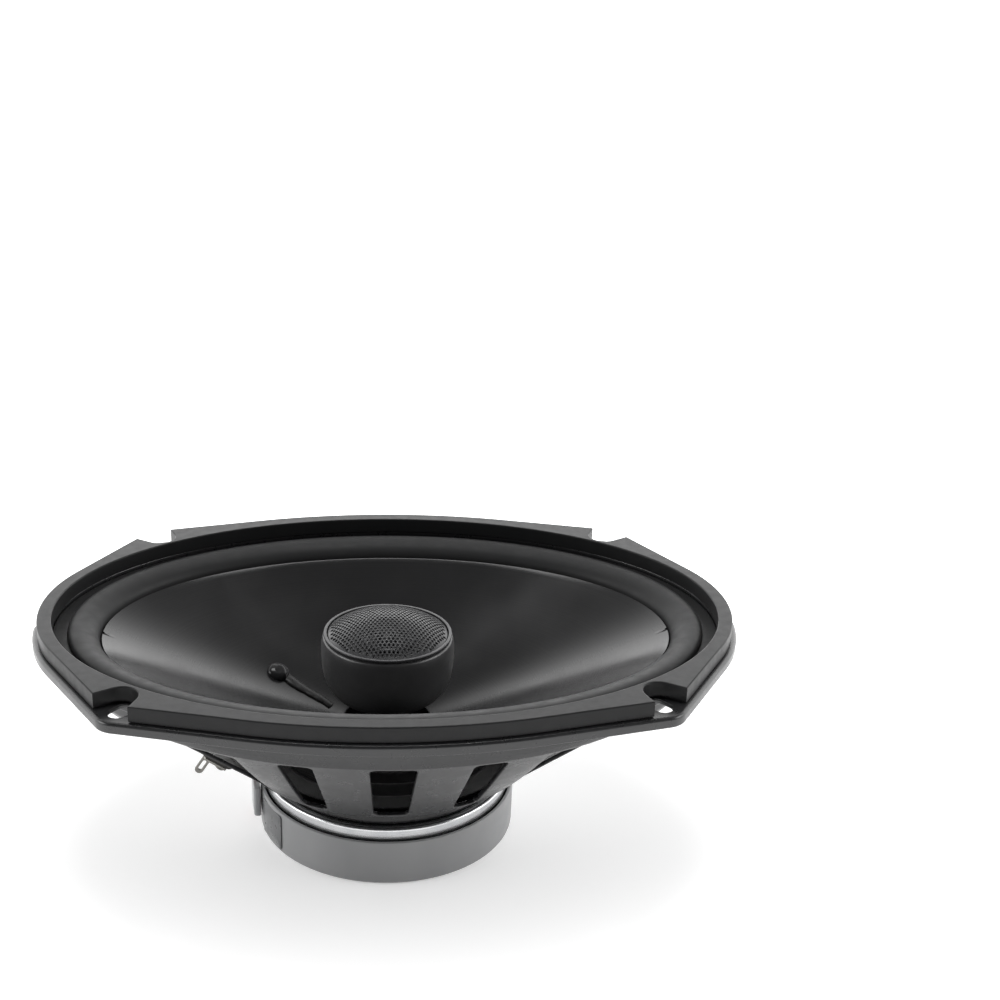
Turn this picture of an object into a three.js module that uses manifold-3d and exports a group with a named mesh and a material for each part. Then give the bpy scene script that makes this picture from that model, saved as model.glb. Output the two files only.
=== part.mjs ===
// Coaxial car speaker, 6x9 inch pattern: an oval cone woofer with a fixed dome tweeter
// held on a post through the middle of its motor.
// Units are millimetres. The origin is the centre of the magnet's back, +Z points to the
// listener, +X runs along the long axis of the oval, and the terminals are at -X.
import * as THREE from 'three';
import { ConvexGeometry } from 'three/addons/geometries/ConvexGeometry.js';
import { mergeVertices } from 'three/addons/utils/BufferGeometryUtils.js';
import Module from 'manifold-3d';

const wasm = await Module();
wasm.setup();

// ---------------------------------------------------------------- driving dimensions
const GAP = 0.3;                 // clearance kept between pieces that touch
const OVAL_SIDES = 48;           // facets round the big ovals
const ROUND_SIDES = 32;          // facets round the motor's discs
const SMALL_SIDES = 16;          // facets round the tweeter's inner pieces
const ARC_STEPS = 4;             // half the facets in each arc of the flange's edge

const FLANGE_TOP = 75.5;         // mounting flange's front plane
const SHEET = 1.4;               // basket metal thickness
const FLANGE_HALF = { x: 118, y: 83.3 };
const END_ARC_RADIUS = 60;       // flange edge at the two ends
const SIDE_ARC_RADIUS = 190;     // flange edge along the two long sides
const CORNER = { x: 82.6, y: 60.2, radius: 8 };
const RIM_DROP = 3.7;            // rolled edge of the flange, top to bottom
const END_NOTCH = { width: 4, depth: 0.8 };

const SCREW_HOLE = { x: 82, y: 60.3, width: 5.9, length: 9, angle: 50 * Math.PI / 180 };

const WELL = { a: 111.9, b: 76.9 };            // flange's inner edge, where it steps down
const LEDGE_TOP = FLANGE_TOP - 2.4;            // the step's floor, under the surround
const LEDGE_INNER = { a: 103.4, b: 71.4 };
const COLLAR_OUTER = { a: 105.4, b: 75.6 };
const COLLAR_BOTTOM = 65;
const WALL_TOP = { a: 103, b: 74.6, z: 62.4 };
const WALL_BOTTOM = { a: 51, b: 48.5, z: 28.3 };
const SEAT = { outer: 40.8, inner: 17.6, bottom: 20.8 };

const WINDOW = { top: 61.4, bottom: 30 };      // heights of the windows in the basket
const END_LEG_HALF = { top: 33, bottom: 28 };
const CORNER_WINDOW = { sideTop: [48.5, 64.7], sideBottom: [39.5, 41], endTop: 94, endBottom: 43.5 };
const CENTRE_WINDOW = { top: 7.3, bottom: 5.5 };                       // half widths
const SIDE_WINDOW = { nearTop: 24.8, nearBottom: 20.2, farBottom: 28, farTop: 35.4 };

const GASKET = { inset: 1.8, innerA: 111.4, innerB: 76.4, height: 5.1 };
const CORNER_RELIEF = { radius: 5.4, flare: 18.5 * Math.PI / 180, reach: 16 };

const ROLL_OUTER = { a: 106.7, b: 72.2 };
const ROLL_TOP = FLANGE_TOP + 1.4;
const SURROUND_FLAT = { a: 111.5, b: 76.5, thickness: 0.9 };

const CONE_EDGE = { a: 95.3, b: 60.3, z: FLANGE_TOP - 3.8 };
const CONE_NECK = { radius: 15.7, z: 37.2 };
const CONE_THICKNESS = 1.1;
const CONE_BEND = 0.12;                        // how far the cone's side bows, 0 = straight

const FORMER = { inner: 14.7, outer: 15.4, bottom: 11.6, top: 38.6 };
const WINDING = { outer: 16.2, bottom: 12.6, top: 23.4 };
const SPIDER = { z: 30, outer: 46.2, land: 39, rolls: 3, amplitude: 1.3, thickness: 0.8 };

const TOP_PLATE = { outer: 43, inner: 16.9, bottom: 15.5, top: 20.5, round: 1.4 };
const FERRITE = { outer: 41.5, inner: 22, bottom: 7.4, top: 15.2 };
const YOKE = { outer: 41, bottom: 2.9, top: 7.1, pole: 13.9, bore: 5.2, poleTop: 20.9 };
const YOKE_POCKET = { radius: 9.2, depth: 6.5 };
const BOOT = { outer: 44.4, inner: 43.2, top: 16, floor: 1.2, opening: 24 };
const LABEL = { from: 197, to: 215.5, thickness: 0.4, bottom: 1.6, top: 14.6 };

const LEAD_BEAD = { x: -38, y: 14.8, radius: 4.1, height: 2.2 };
const LEAD_RIDGE = 1.2;          // half thickness of the glued coil leads on the cone
const LEAD_ROUTE = [[-34.2, 12.2], [-31, 10.6], [-27, 9.6], [-23, 8.6], [-19.4, 6.6]];
const TINSEL_RADIUS = 0.9;

const TERMINAL = { x: -57, width: 34, length: 12, corner: 2.5, foot: 0.4, thickness: 1.6, tabY: 14.5 };
const TAB = { foot: 8.4, footWidth: 4.4, height: 8.4, thickness: 0.8, positive: 4.8, negative: 3 };
const TAB_RIVET = { x: -2.2, shank: 1.1, head: 1.9, inner: -2.6 };
const BOARD_RIVET = { shank: 1.5, head: 2.8 };

const RIVET = { circle: 30, shank: 1.9, head: 3.6, bottom: 16.6 };
const CAPACITOR = {
  angle: 187 * Math.PI / 180, inner: 44.8, outer: 47.2, width: 11, corner: 1.1, bottom: 5.6, top: 17,
};
const WIRE = { angle: 174 * Math.PI / 180, radius: 0.5, floor: 2.15, spread: 1.1, hole: 1 };

const POST = { stud: 4.9, bore: 2.2, body: 7, bottom: 3.6, foot: 21.2, shoulder: 45.7, top: 55.4 };
const POD = { rim: 70.4, floor: 51.6, neck: 46, outer: 22.7, wall: 1.6, boss: 9 };
const WASHER = { outer: 8.6, bottom: 8.1, top: 9.1 };
const NUT = { across: 12, postBottom: 4, postTop: 7.8, podBottom: 51.9, podTop: 54.9 };
const BEZEL = { inner: 20.7, outer: 21.8, bottom: 70.7, top: 71.5 };
const GRILLE = { radius: 20.4, bottom: 71, top: 77.5, thickness: 0.7 };
const DOME = { z: 68.8, radius: 6.4, height: 3.2, surround: 9.6, thickness: 0.35 };
const TWEETER_CUP = { inner: 7.6, outer: 9.4, bottom: 57, floor: 1.5, top: 66 };
const TWEETER_MAGNET = { radius: 6, bottom: 58.8, top: 63 };
const TWEETER_PLATE = { radius: 6.1, bottom: 63.3, top: 65 };
const TWEETER_COIL = { inner: 6.45, outer: 7, bottom: 62.6, top: 68 };

const RIVET_ANGLES = [45, 135, 225, 315].map((degrees) => degrees * Math.PI / 180);

// ---------------------------------------------------------------- small helpers
const speaker = new THREE.Group();
speaker.name = 'coaxial_speaker';

function finish(color, roughness, metalness) {
  return new THREE.MeshStandardMaterial({ color, roughness, metalness });
}

const LOOK = {
  paint: () => finish(0x18191b, 0.38, 0.2),
  rubber: () => finish(0x17181a, 0.75, 0),
  polymer: () => finish(0x0d0d0f, 0.22, 0),
  cloth: () => finish(0x1c1c1d, 0.9, 0),
  zinc: () => finish(0xc9cbcd, 0.28, 1),
  steel: () => finish(0xa9adb2, 0.4, 1),
  ferrite: () => finish(0x2b2b2d, 0.65, 0.1),
  boot: () => finish(0x5d5f62, 0.6, 0),
  plastic: () => finish(0x141416, 0.45, 0),
  mesh: () => finish(0x1b1c1e, 0.45, 0.6),
  tin: () => finish(0xbfb9a8, 0.3, 1),
  copper: () => finish(0xb56b3c, 0.35, 1),
  wire: () => finish(0x8a1f1c, 0.5, 0),
  fibre: () => finish(0x1d1b19, 0.8, 0),
};

function place(name, geometry, material, parent = speaker) {
  const mesh = new THREE.Mesh(geometry, material);
  mesh.name = name;
  parent.add(mesh);
  return mesh;
}

// A lathe profile runs anticlockwise, so that its faces point out.
function anticlockwise(profile) {
  const outline = profile.map((point) => new THREE.Vector2(point[0], point[point.length - 1]));
  return THREE.ShapeUtils.area(outline) > 0 ? profile : [...profile].reverse();
}

// An oval ring or bowl: profile points are [half length, half width, height], closed.
function ovalLathe(outline, sides = OVAL_SIDES) {
  const profile = anticlockwise(outline);
  const points = profile.map(([a, , z]) => new THREE.Vector2(a, z));
  points.push(points[0].clone());
  const ratios = profile.map(([a, b]) => b / a);
  ratios.push(ratios[0]);
  const geometry = new THREE.LatheGeometry(points, sides);
  geometry.rotateX(Math.PI / 2);
  const position = geometry.getAttribute('position');
  for (let i = 0; i < position.count; i += 1) {
    position.setY(i, position.getY(i) * ratios[i % points.length]);
  }
  return geometry;
}

// A round turned piece: profile points are [radius, height]. Open profiles meet the axis.
function turned(profile, sides = ROUND_SIDES, closed = true) {
  const points = anticlockwise(profile).map(([r, z]) => new THREE.Vector2(r, z));
  if (closed) points.push(points[0].clone());
  const geometry = new THREE.LatheGeometry(points, sides);
  return geometry.rotateX(Math.PI / 2);
}

function ring(inner, outer, bottom, top, sides = ROUND_SIDES) {
  return turned([[inner, bottom], [outer, bottom], [outer, top], [inner, top]], sides);
}

function disc(radius, bottom, top, sides = ROUND_SIDES) {
  return turned([[0, bottom], [radius, bottom], [radius, top], [0, top]], sides, false);
}

function slab(shape, bottom, top, curveSegments = 12) {
  const depth = top - bottom;
  const geometry = new THREE.ExtrudeGeometry(shape, { depth, bevelEnabled: false, curveSegments });
  return geometry.translate(0, 0, bottom);
}

function tube(points, radius, steps, sides = 8) {
  const section = new THREE.Shape();
  section.absarc(0, 0, radius, 0, 2 * Math.PI);
  const path = new THREE.CatmullRomCurve3(points.map((p) => new THREE.Vector3(...p)));
  const curveSegments = sides / 2;
  return new THREE.ExtrudeGeometry(section, { steps, extrudePath: path, curveSegments });
}

function solid(geometry) {
  const source = geometry.clone();
  source.deleteAttribute('normal');
  if (source.getAttribute('uv')) source.deleteAttribute('uv');
  const merged = mergeVertices(source, 1e-4);
  const vertProperties = new Float32Array(merged.getAttribute('position').array);
  const triVerts = new Uint32Array(merged.getIndex().array);
  return new wasm.Manifold(new wasm.Mesh({ numProp: 3, vertProperties, triVerts }));
}

function geometryOf(body) {
  const mesh = body.getMesh();
  const geometry = new THREE.BufferGeometry();
  geometry.setAttribute('position', new THREE.BufferAttribute(new Float32Array(mesh.vertProperties), 3));
  geometry.setIndex(new THREE.BufferAttribute(new Uint32Array(mesh.triVerts), 1));
  geometry.computeVertexNormals();
  return geometry;
}

function cut(body, ...cutters) {
  return cutters.reduce((left, cutter) => left.subtract(solid(cutter)), body);
}

// ---------------------------------------------------------------- flange outline
// The edge is eight arcs joined by their outer tangents: two ends, two sides, four corners.
function tangentAngle(from, to) {
  const dx = to.x - from.x;
  const dy = to.y - from.y;
  return [Math.atan2(dy, dx), Math.acos((from.radius - to.radius) / Math.hypot(dx, dy))];
}

function flangeArcs(inset) {
  const end = { x: FLANGE_HALF.x - END_ARC_RADIUS, y: 0, radius: END_ARC_RADIUS - inset };
  const side = { x: 0, y: FLANGE_HALF.y - SIDE_ARC_RADIUS, radius: SIDE_ARC_RADIUS - inset };
  const corner = { x: CORNER.x, y: CORNER.y, radius: CORNER.radius - inset };
  const [endWay, endTurn] = tangentAngle(end, corner);
  const [sideWay, sideTurn] = tangentAngle(side, corner);
  return { end, side, corner, endStop: endWay - endTurn, sideStart: sideWay + sideTurn };
}

function flangeOutline(inset) {
  const { end, side, corner, endStop, sideStart } = flangeArcs(inset);
  const shape = new THREE.Shape();
  const half = Math.PI / 2;
  shape.absarc(end.x, 0, end.radius, -endStop, endStop);
  shape.absarc(corner.x, corner.y, corner.radius, endStop, sideStart);
  shape.absarc(side.x, side.y, side.radius, sideStart, 2 * half - sideStart);
  shape.absarc(-corner.x, corner.y, corner.radius, 2 * half - sideStart, 2 * half - endStop);
  shape.absarc(-end.x, 0, end.radius, 2 * half - endStop, 2 * half + endStop);
  shape.absarc(-corner.x, -corner.y, corner.radius, 2 * half + endStop, 2 * half + sideStart);
  shape.absarc(side.x, -side.y, side.radius, 2 * half + sideStart, 4 * half - sideStart);
  shape.absarc(corner.x, -corner.y, corner.radius, 4 * half - sideStart, 4 * half - endStop);
  return shape;
}

function ellipsePath(a, b, sides = OVAL_SIDES) {
  const curve = new THREE.EllipseCurve(0, 0, a, b);
  return new THREE.Path(curve.getPoints(sides).slice(0, sides));
}

const CORNERS = [[1, 1], [-1, 1], [-1, -1], [1, -1]];

// A screw slot runs from the corner towards the centre of the speaker.
function screwSlot([sx, sy]) {
  const shape = new THREE.Shape();
  const reach = (SCREW_HOLE.length - SCREW_HOLE.width) / 2;
  const radius = SCREW_HOLE.width / 2;
  shape.absarc(reach, 0, radius, -Math.PI / 2, Math.PI / 2);
  shape.absarc(-reach, 0, radius, Math.PI / 2, 3 * Math.PI / 2);
  const geometry = slab(shape, FLANGE_TOP - 12, FLANGE_TOP + 4, 3);
  geometry.rotateZ(Math.atan2(sy * Math.sin(SCREW_HOLE.angle), sx * Math.cos(SCREW_HOLE.angle)));
  return geometry.translate(sx * SCREW_HOLE.x, sy * SCREW_HOLE.y, 0);
}

// ---------------------------------------------------------------- basket
function windowPrism(points, side) {
  const shape = new THREE.Shape(points.map(([x, z]) => new THREE.Vector2(x, z)));
  const geometry = new THREE.ExtrudeGeometry(shape, { depth: 60, bevelEnabled: false });
  geometry.rotateX(Math.PI / 2);
  return geometry.translate(0, side > 0 ? 90 : -30, 0);
}

function cornerWindow([sx, sy]) {
  const { sideTop, sideBottom, endTop, endBottom } = CORNER_WINDOW;
  const points = [];
  for (const reach of [0.7, 1.5]) {
    points.push([sideTop[0] * reach, sideTop[1] * reach, WINDOW.top]);
    points.push([sideBottom[0] * reach, sideBottom[1] * reach, WINDOW.bottom]);
    points.push([endTop * reach, END_LEG_HALF.top * reach, WINDOW.top]);
    points.push([endBottom * reach, END_LEG_HALF.bottom * reach, WINDOW.bottom]);
  }
  return new ConvexGeometry(points.map(([x, y, z]) => new THREE.Vector3(sx * x, sy * y, z)));
}

function basketWindows() {
  const { top, bottom } = WINDOW;
  const cutters = CORNERS.map(cornerWindow);
  for (const side of [1, -1]) {
    const { top: wide, bottom: narrow } = CENTRE_WINDOW;
    cutters.push(windowPrism([[-wide, top], [-narrow, bottom], [narrow, bottom], [wide, top]], side));
    const { nearTop, nearBottom, farBottom, farTop } = SIDE_WINDOW;
    for (const way of [1, -1]) {
      const slanted = [[nearTop, top], [nearBottom, bottom], [farBottom, bottom], [farTop, top]];
      cutters.push(windowPrism(slanted.map(([x, z]) => [way * x, z]), side));
    }
  }
  return cutters;
}

function basketGeometry() {
  const plate = flangeOutline(0);
  plate.holes.push(ellipsePath(WELL.a, WELL.b));
  const rim = flangeOutline(0);
  rim.holes.push(new THREE.Path(flangeOutline(SHEET).getPoints(ARC_STEPS)));
  const t = SHEET;
  const wall = ovalLathe([
    [WELL.a + t, WELL.b + t, FLANGE_TOP - t / 2],
    [WELL.a, WELL.b, FLANGE_TOP - t / 2],
    [WELL.a, WELL.b, LEDGE_TOP],
    [LEDGE_INNER.a, LEDGE_INNER.b, LEDGE_TOP],
    [LEDGE_INNER.a, LEDGE_INNER.b, LEDGE_TOP - t],
    [COLLAR_OUTER.a - t, COLLAR_OUTER.b - t, LEDGE_TOP - t],
    [COLLAR_OUTER.a - t, COLLAR_OUTER.b - t, COLLAR_BOTTOM],
    [WALL_TOP.a - t, WALL_TOP.b - t, WALL_TOP.z + t / 2],
    [WALL_BOTTOM.a - t / 2, WALL_BOTTOM.b - t / 2, WALL_BOTTOM.z + t],
    [SEAT.outer - t, SEAT.outer - t, WALL_BOTTOM.z + t],
    [SEAT.outer - t, SEAT.outer - t, SEAT.bottom + t],
    [SEAT.inner, SEAT.inner, SEAT.bottom + t],
    [SEAT.inner, SEAT.inner, SEAT.bottom],
    [SEAT.outer - 0.8, SEAT.outer - 0.8, SEAT.bottom],
    [SEAT.outer, SEAT.outer, SEAT.bottom + 0.8],
    [SEAT.outer, SEAT.outer, WALL_BOTTOM.z - 0.5],
    [WALL_BOTTOM.a - 1.5, WALL_BOTTOM.b - 1.5, WALL_BOTTOM.z - 0.5],
    [WALL_BOTTOM.a, WALL_BOTTOM.b, WALL_BOTTOM.z + 0.5],
    [WALL_TOP.a, WALL_TOP.b, WALL_TOP.z],
    [COLLAR_OUTER.a, COLLAR_OUTER.b, COLLAR_BOTTOM],
    [COLLAR_OUTER.a, COLLAR_OUTER.b, LEDGE_TOP - t],
    [WELL.a + t, WELL.b + t, LEDGE_TOP - t],
  ]);
  const flange = solid(slab(plate, FLANGE_TOP - t, FLANGE_TOP, ARC_STEPS)).add(
    solid(slab(rim, FLANGE_TOP - RIM_DROP, FLANGE_TOP, ARC_STEPS)));
  const notches = [1, -1].map((way) => {
    const notch = new THREE.BoxGeometry(2 * END_NOTCH.depth, END_NOTCH.width, 20);
    return notch.translate(way * FLANGE_HALF.x, 0, FLANGE_TOP);
  });
  const rivetHoles = RIVET_ANGLES.map((angle) => disc(RIVET.shank + GAP, 19, 24, 10)
    .translate(RIVET.circle * Math.cos(angle), RIVET.circle * Math.sin(angle), 0));
  const legHoles = [
    ...tabRivetHoles(TAB_RIVET.shank + 0.9, -4, 2),
    disc(BOARD_RIVET.shank + GAP, -4, 2, 10),
  ].map((hole) => hole.applyMatrix4(terminalFrame().matrix));
  const shell = flange.add(solid(wall));
  return geometryOf(cut(shell, ...basketWindows(), ...CORNERS.map(screwSlot), ...notches,
    ...rivetHoles, ...legHoles));
}

// ---------------------------------------------------------------- trim gasket
function cornerRelief([sx, sy]) {
  const { radius, flare, reach } = CORNER_RELIEF;
  const shape = new THREE.Shape();
  const turn = Math.PI / 2 + flare;
  shape.absarc(0, 0, radius, turn, 2 * Math.PI - turn);
  shape.lineTo(reach, -(radius / Math.cos(flare) + reach * Math.tan(flare)));
  shape.lineTo(reach, radius / Math.cos(flare) + reach * Math.tan(flare));
  const geometry = slab(shape, FLANGE_TOP - 2, FLANGE_TOP + 12, 4);
  geometry.rotateZ(Math.atan2(sy * Math.sin(SCREW_HOLE.angle), sx * Math.cos(SCREW_HOLE.angle)));
  return geometry.translate(sx * SCREW_HOLE.x, sy * SCREW_HOLE.y, 0);
}

function gasketGeometry() {
  const bottom = FLANGE_TOP + GAP;
  const outline = flangeOutline(GASKET.inset);
  outline.holes.push(ellipsePath(GASKET.innerA, GASKET.innerB));
  const body = solid(slab(outline, bottom, bottom + GASKET.height, ARC_STEPS));
  return geometryOf(cut(body, ...CORNERS.map(cornerRelief)));
}

// ---------------------------------------------------------------- cone and suspension
// The cone's side at s, from 0 at the neck to 1 at the edge: [half length, half width, height].
function conePoint(s, drop = 0) {
  const a = CONE_NECK.radius + (CONE_EDGE.a - CONE_NECK.radius) * s;
  const b = CONE_NECK.radius + (CONE_EDGE.b - CONE_NECK.radius) * s;
  const bow = s * (1 - CONE_BEND) + CONE_BEND * s * s;
  return [a, b, CONE_NECK.z + (CONE_EDGE.z - CONE_NECK.z) * bow - drop];
}

// How far out along the cone's side a point of its plan lies.
function coneShare(x, y) {
  let low = 0;
  let high = 1;
  for (let i = 0; i < 40; i += 1) {
    const middle = (low + high) / 2;
    const [a, b] = conePoint(middle);
    if ((x / a) ** 2 + (y / b) ** 2 > 1) low = middle;
    else high = middle;
  }
  return low;
}

function coneHeight(x, y) {
  return conePoint(coneShare(x, y))[2];
}

function coneGeometry() {
  const stations = [0, 0.12, 0.28, 0.46, 0.64, 0.82, 1];
  const front = stations.map((s) => conePoint(s));
  const back = stations.map((s) => conePoint(s, CONE_THICKNESS)).reverse();
  return ovalLathe([...front, ...back]);
}

function surroundGeometry() {
  const t = SURROUND_FLAT.thickness;
  const foot = LEDGE_TOP + GAP;
  const lip = (s, drop) => conePoint(s, CONE_THICKNESS + GAP + drop);
  const inner = { a: CONE_EDGE.a + 0.6, b: CONE_EDGE.b + 0.6, z: CONE_EDGE.z + 0.3 };
  const arch = (shrink, steps) => {
    const points = [];
    for (let i = 0; i <= steps; i += 1) {
      const angle = Math.PI * i / steps;
      const share = (1 - Math.cos(angle)) / 2;
      const base = foot + t - 0.2 + (inner.z - foot - t + 0.2) * share;
      const rise = (ROLL_TOP - (foot + inner.z) / 2) * Math.sin(angle);
      const narrow = shrink * Math.cos(angle);
      points.push([
        ROLL_OUTER.a + (inner.a - ROLL_OUTER.a) * share - narrow,
        ROLL_OUTER.b + (inner.b - ROLL_OUTER.b) * share - narrow,
        base + rise - shrink * Math.max(0.35, Math.sin(angle)),
      ]);
    }
    return points;
  };
  const over = arch(0, 6);
  const under = arch(t, 6).reverse();
  return ovalLathe([
    [SURROUND_FLAT.a, SURROUND_FLAT.b, foot],
    [SURROUND_FLAT.a, SURROUND_FLAT.b, foot + t],
    ...over,
    [inner.a, inner.b, CONE_EDGE.z - CONE_THICKNESS - GAP],
    lip(0.955, 0),
    lip(0.955, t),
    [inner.a - 0.1, inner.b - 0.1, CONE_EDGE.z - CONE_THICKNESS - GAP - t],
    ...under,
  ]);
}

function spiderGeometry() {
  const { z, outer, land, rolls, amplitude, thickness } = SPIDER;
  const neck = FORMER.outer + GAP;
  const start = neck + 2.2;
  const steps = rolls * 4;
  const waves = [[neck, 1.2], [start, 0]];
  for (let i = 1; i <= steps; i += 1) {
    waves.push([start + (land - start) * i / steps, amplitude * Math.sin(Math.PI * i / 2)]);
  }
  waves.push([outer, 0]);
  const front = waves.map(([r, lift]) => [r, z + lift + thickness]);
  const back = waves.map(([r, lift]) => [r, z + lift]).reverse();
  return turned([...front, ...back], 28);
}

// ---------------------------------------------------------------- motor
function rivetGeometry() {
  const seat = SEAT.bottom + SHEET + GAP;
  return turned([
    [0, RIVET.bottom], [RIVET.shank, RIVET.bottom], [RIVET.shank, seat], [RIVET.head, seat],
    [RIVET.head - 0.5, seat + 1], [0, seat + 1.3],
  ], 10, false);
}

function topPlateGeometry() {
  const { outer, inner, bottom, top, round } = TOP_PLATE;
  const plate = solid(turned([
    [inner, bottom], [outer - 0.6, bottom], [outer, bottom + 0.6],
    [outer, top - round], [outer - round * 0.3, top - round * 0.3], [outer - round, top], [inner, top],
  ], 40));
  const holes = RIVET_ANGLES.map((angle) => disc(RIVET.shank + GAP, RIVET.bottom - GAP, 30, 10)
    .translate(RIVET.circle * Math.cos(angle), RIVET.circle * Math.sin(angle), 0));
  return geometryOf(cut(plate, ...holes));
}

function yokeGeometry() {
  const pocket = YOKE.bottom + YOKE_POCKET.depth;
  return turned([
    [YOKE_POCKET.radius, YOKE.bottom], [YOKE.outer, YOKE.bottom], [YOKE.outer, YOKE.top],
    [YOKE.pole, YOKE.top], [YOKE.pole, YOKE.poleTop - 1], [YOKE.pole - 1, YOKE.poleTop],
    [YOKE.bore, YOKE.poleTop], [YOKE.bore, pocket], [YOKE_POCKET.radius, pocket],
  ]);
}

function bootGeometry() {
  const { outer, inner, top, floor, opening } = BOOT;
  const boot = solid(turned([
    [opening, 0], [outer - 1.2, 0], [outer, 1.2], [outer, top - 0.6], [outer - 0.6, top],
    [inner, top], [inner, floor], [opening, floor],
  ], 40));
  const wireHoles = [1, -1].map((way) => {
    const hole = new THREE.CylinderGeometry(WIRE.hole, WIRE.hole, 6, 8);
    hole.rotateZ(Math.PI / 2);
    hole.translate(outer, way * WIRE.spread, WIRE.floor);
    return hole.rotateZ(WIRE.angle);
  });
  return geometryOf(cut(boot, ...wireHoles));
}

// The label lies on the drum's side, a gap clear of it.
function labelGeometry() {
  const radius = BOOT.outer + GAP;
  const from = LABEL.from * Math.PI / 180;
  const to = LABEL.to * Math.PI / 180;
  const shape = new THREE.Shape();
  shape.absarc(0, 0, radius + LABEL.thickness, from, to);
  shape.absarc(0, 0, radius, to, from, true);
  return slab(shape, LABEL.bottom, LABEL.top, 5);
}

// ---------------------------------------------------------------- terminals
// The board's own frame: +z is the end wall's outward normal and +x points up its slope.
const BOARD_TOP = TERMINAL.foot + TERMINAL.thickness;

function terminalFrame() {
  const run = WALL_TOP.a - WALL_BOTTOM.a;
  const rise = WALL_TOP.z - WALL_BOTTOM.z;
  const share = (-TERMINAL.x - WALL_BOTTOM.a) / run;
  const frame = new THREE.Group();
  frame.position.set(TERMINAL.x, 0, WALL_BOTTOM.z + rise * share);
  frame.rotation.y = Math.PI + Math.atan2(rise, run);
  frame.updateMatrix();
  return frame;
}

function tabRivetHoles(radius, bottom, top) {
  return [1, -1].map((way) => disc(radius, bottom, top, 10)
    .translate(TAB_RIVET.x, way * TERMINAL.tabY, 0));
}

function terminalBoard() {
  const w = TERMINAL.width / 2;
  const l = TERMINAL.length / 2;
  const r = TERMINAL.corner;
  const quarter = Math.PI / 2;
  const shape = new THREE.Shape();
  shape.absarc(l - r, w - r, r, 0, quarter);
  shape.absarc(r - l, w - r, r, quarter, 2 * quarter);
  shape.absarc(r - l, r - w, r, 2 * quarter, 3 * quarter);
  shape.absarc(l - r, r - w, r, 3 * quarter, 4 * quarter);
  const board = solid(slab(shape, TERMINAL.foot, BOARD_TOP, 4));
  const centreHole = disc(BOARD_RIVET.shank + GAP, -1, 9, 10);
  return geometryOf(cut(board, ...tabRivetHoles(TAB_RIVET.shank + GAP, -1, 9), centreHole));
}

// An L-shaped blade: its foot lies on the board and its blade stands up with a long hole.
function tabGeometry(width) {
  const seat = BOARD_TOP + GAP;
  const foot = new THREE.BoxGeometry(TAB.foot, TAB.footWidth, TAB.thickness);
  foot.translate(0, 0, seat + TAB.thickness / 2);
  const half = width / 2;
  const top = seat + TAB.height;
  const slot = half * 0.42;
  const blade = new THREE.Shape();
  blade.moveTo(-half, seat);
  blade.lineTo(half, seat);
  blade.absarc(0, top - half, half, 0, Math.PI);
  const hole = new THREE.Path();
  hole.absarc(0, top - half - slot, slot, 0, Math.PI);
  hole.absarc(0, seat + 3.4, slot, Math.PI, 2 * Math.PI);
  blade.holes.push(hole);
  const options = { depth: TAB.thickness, bevelEnabled: false, curveSegments: 6 };
  const upright = new THREE.ExtrudeGeometry(blade, options);
  upright.rotateX(Math.PI / 2);
  upright.translate(TAB.foot / 2 - half, TAB.footWidth / 2, 0);
  const rivetHole = disc(TAB_RIVET.shank + GAP, 0, 12, 10).translate(TAB_RIVET.x, 0, 0);
  return geometryOf(cut(solid(foot).add(solid(upright)), rivetHole));
}

function tabRivet() {
  const seat = BOARD_TOP + 2 * GAP + TAB.thickness;
  return turned([
    [0, TAB_RIVET.inner], [TAB_RIVET.shank, TAB_RIVET.inner], [TAB_RIVET.shank, seat],
    [TAB_RIVET.head, seat], [TAB_RIVET.head - 0.4, seat + 0.6], [0, seat + 0.8],
  ], 10, false);
}

function boardRivet() {
  const seat = BOARD_TOP + GAP;
  return turned([
    [0, -2.4], [BOARD_RIVET.shank, -2.4], [BOARD_RIVET.shank, seat],
    [BOARD_RIVET.head, seat], [BOARD_RIVET.head - 0.6, seat + 0.8], [0, seat + 1],
  ], 10, false);
}

// ---------------------------------------------------------------- tweeter
function podGeometry() {
  const { rim, floor, neck, outer, wall, boss } = POD;
  return turned([
    [21, rim], [22.2, rim - 0.7], [outer, rim - 2.6], [outer - 0.2, 60], [outer - 1.1, 54.5],
    [outer - 3.1, 50.4], [outer - 6.1, 47.9], [outer - 10.2, 46.7], [8, 46.5], [8, neck],
    [POST.stud + GAP, neck], [POST.stud + GAP, floor], [boss, floor], [boss, 48.4], [outer - 10.3, 48.4],
    [outer - 6.7, 49.7], [outer - 4.3, 51.9], [outer - 2.7, 55.4], [outer - wall - 0.2, 60],
    [outer - wall, rim - 2.6], [21, rim - 1.4],
  ], 28);
}

function postGeometry() {
  const { stud, bore, body, bottom, foot, shoulder, top } = POST;
  return turned([
    [bore, bottom], [stud, bottom], [stud, foot], [body, foot], [body, shoulder],
    [stud, shoulder], [stud, top], [bore, top],
  ], 24);
}

function faceplateGeometry() {
  const rim = BEZEL.inner - GAP;
  return turned([
    [8.2, 66.3], [rim, 66.3], [rim, 70.1], [rim - 1, 70.1], [rim - 3, 68.4], [8.2, 68.1],
  ], 32);
}

// The grille is a thin domed shell, part of a sphere.
function grilleGeometry() {
  const { radius, bottom, top, thickness } = GRILLE;
  const steps = 4;
  const height = top - bottom;
  const sphere = (radius ** 2 + height ** 2) / (2 * height);
  const half = Math.asin(radius / sphere);
  const arc = (size, way) => {
    const points = [];
    for (let i = 0; i <= steps; i += 1) {
      const angle = half * (way > 0 ? i : steps - i) / steps;
      points.push([size * Math.sin(angle), top - sphere + size * Math.cos(angle)]);
    }
    return points;
  };
  return turned([...arc(sphere - thickness, 1), ...arc(sphere, -1)], 28, false);
}

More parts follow.
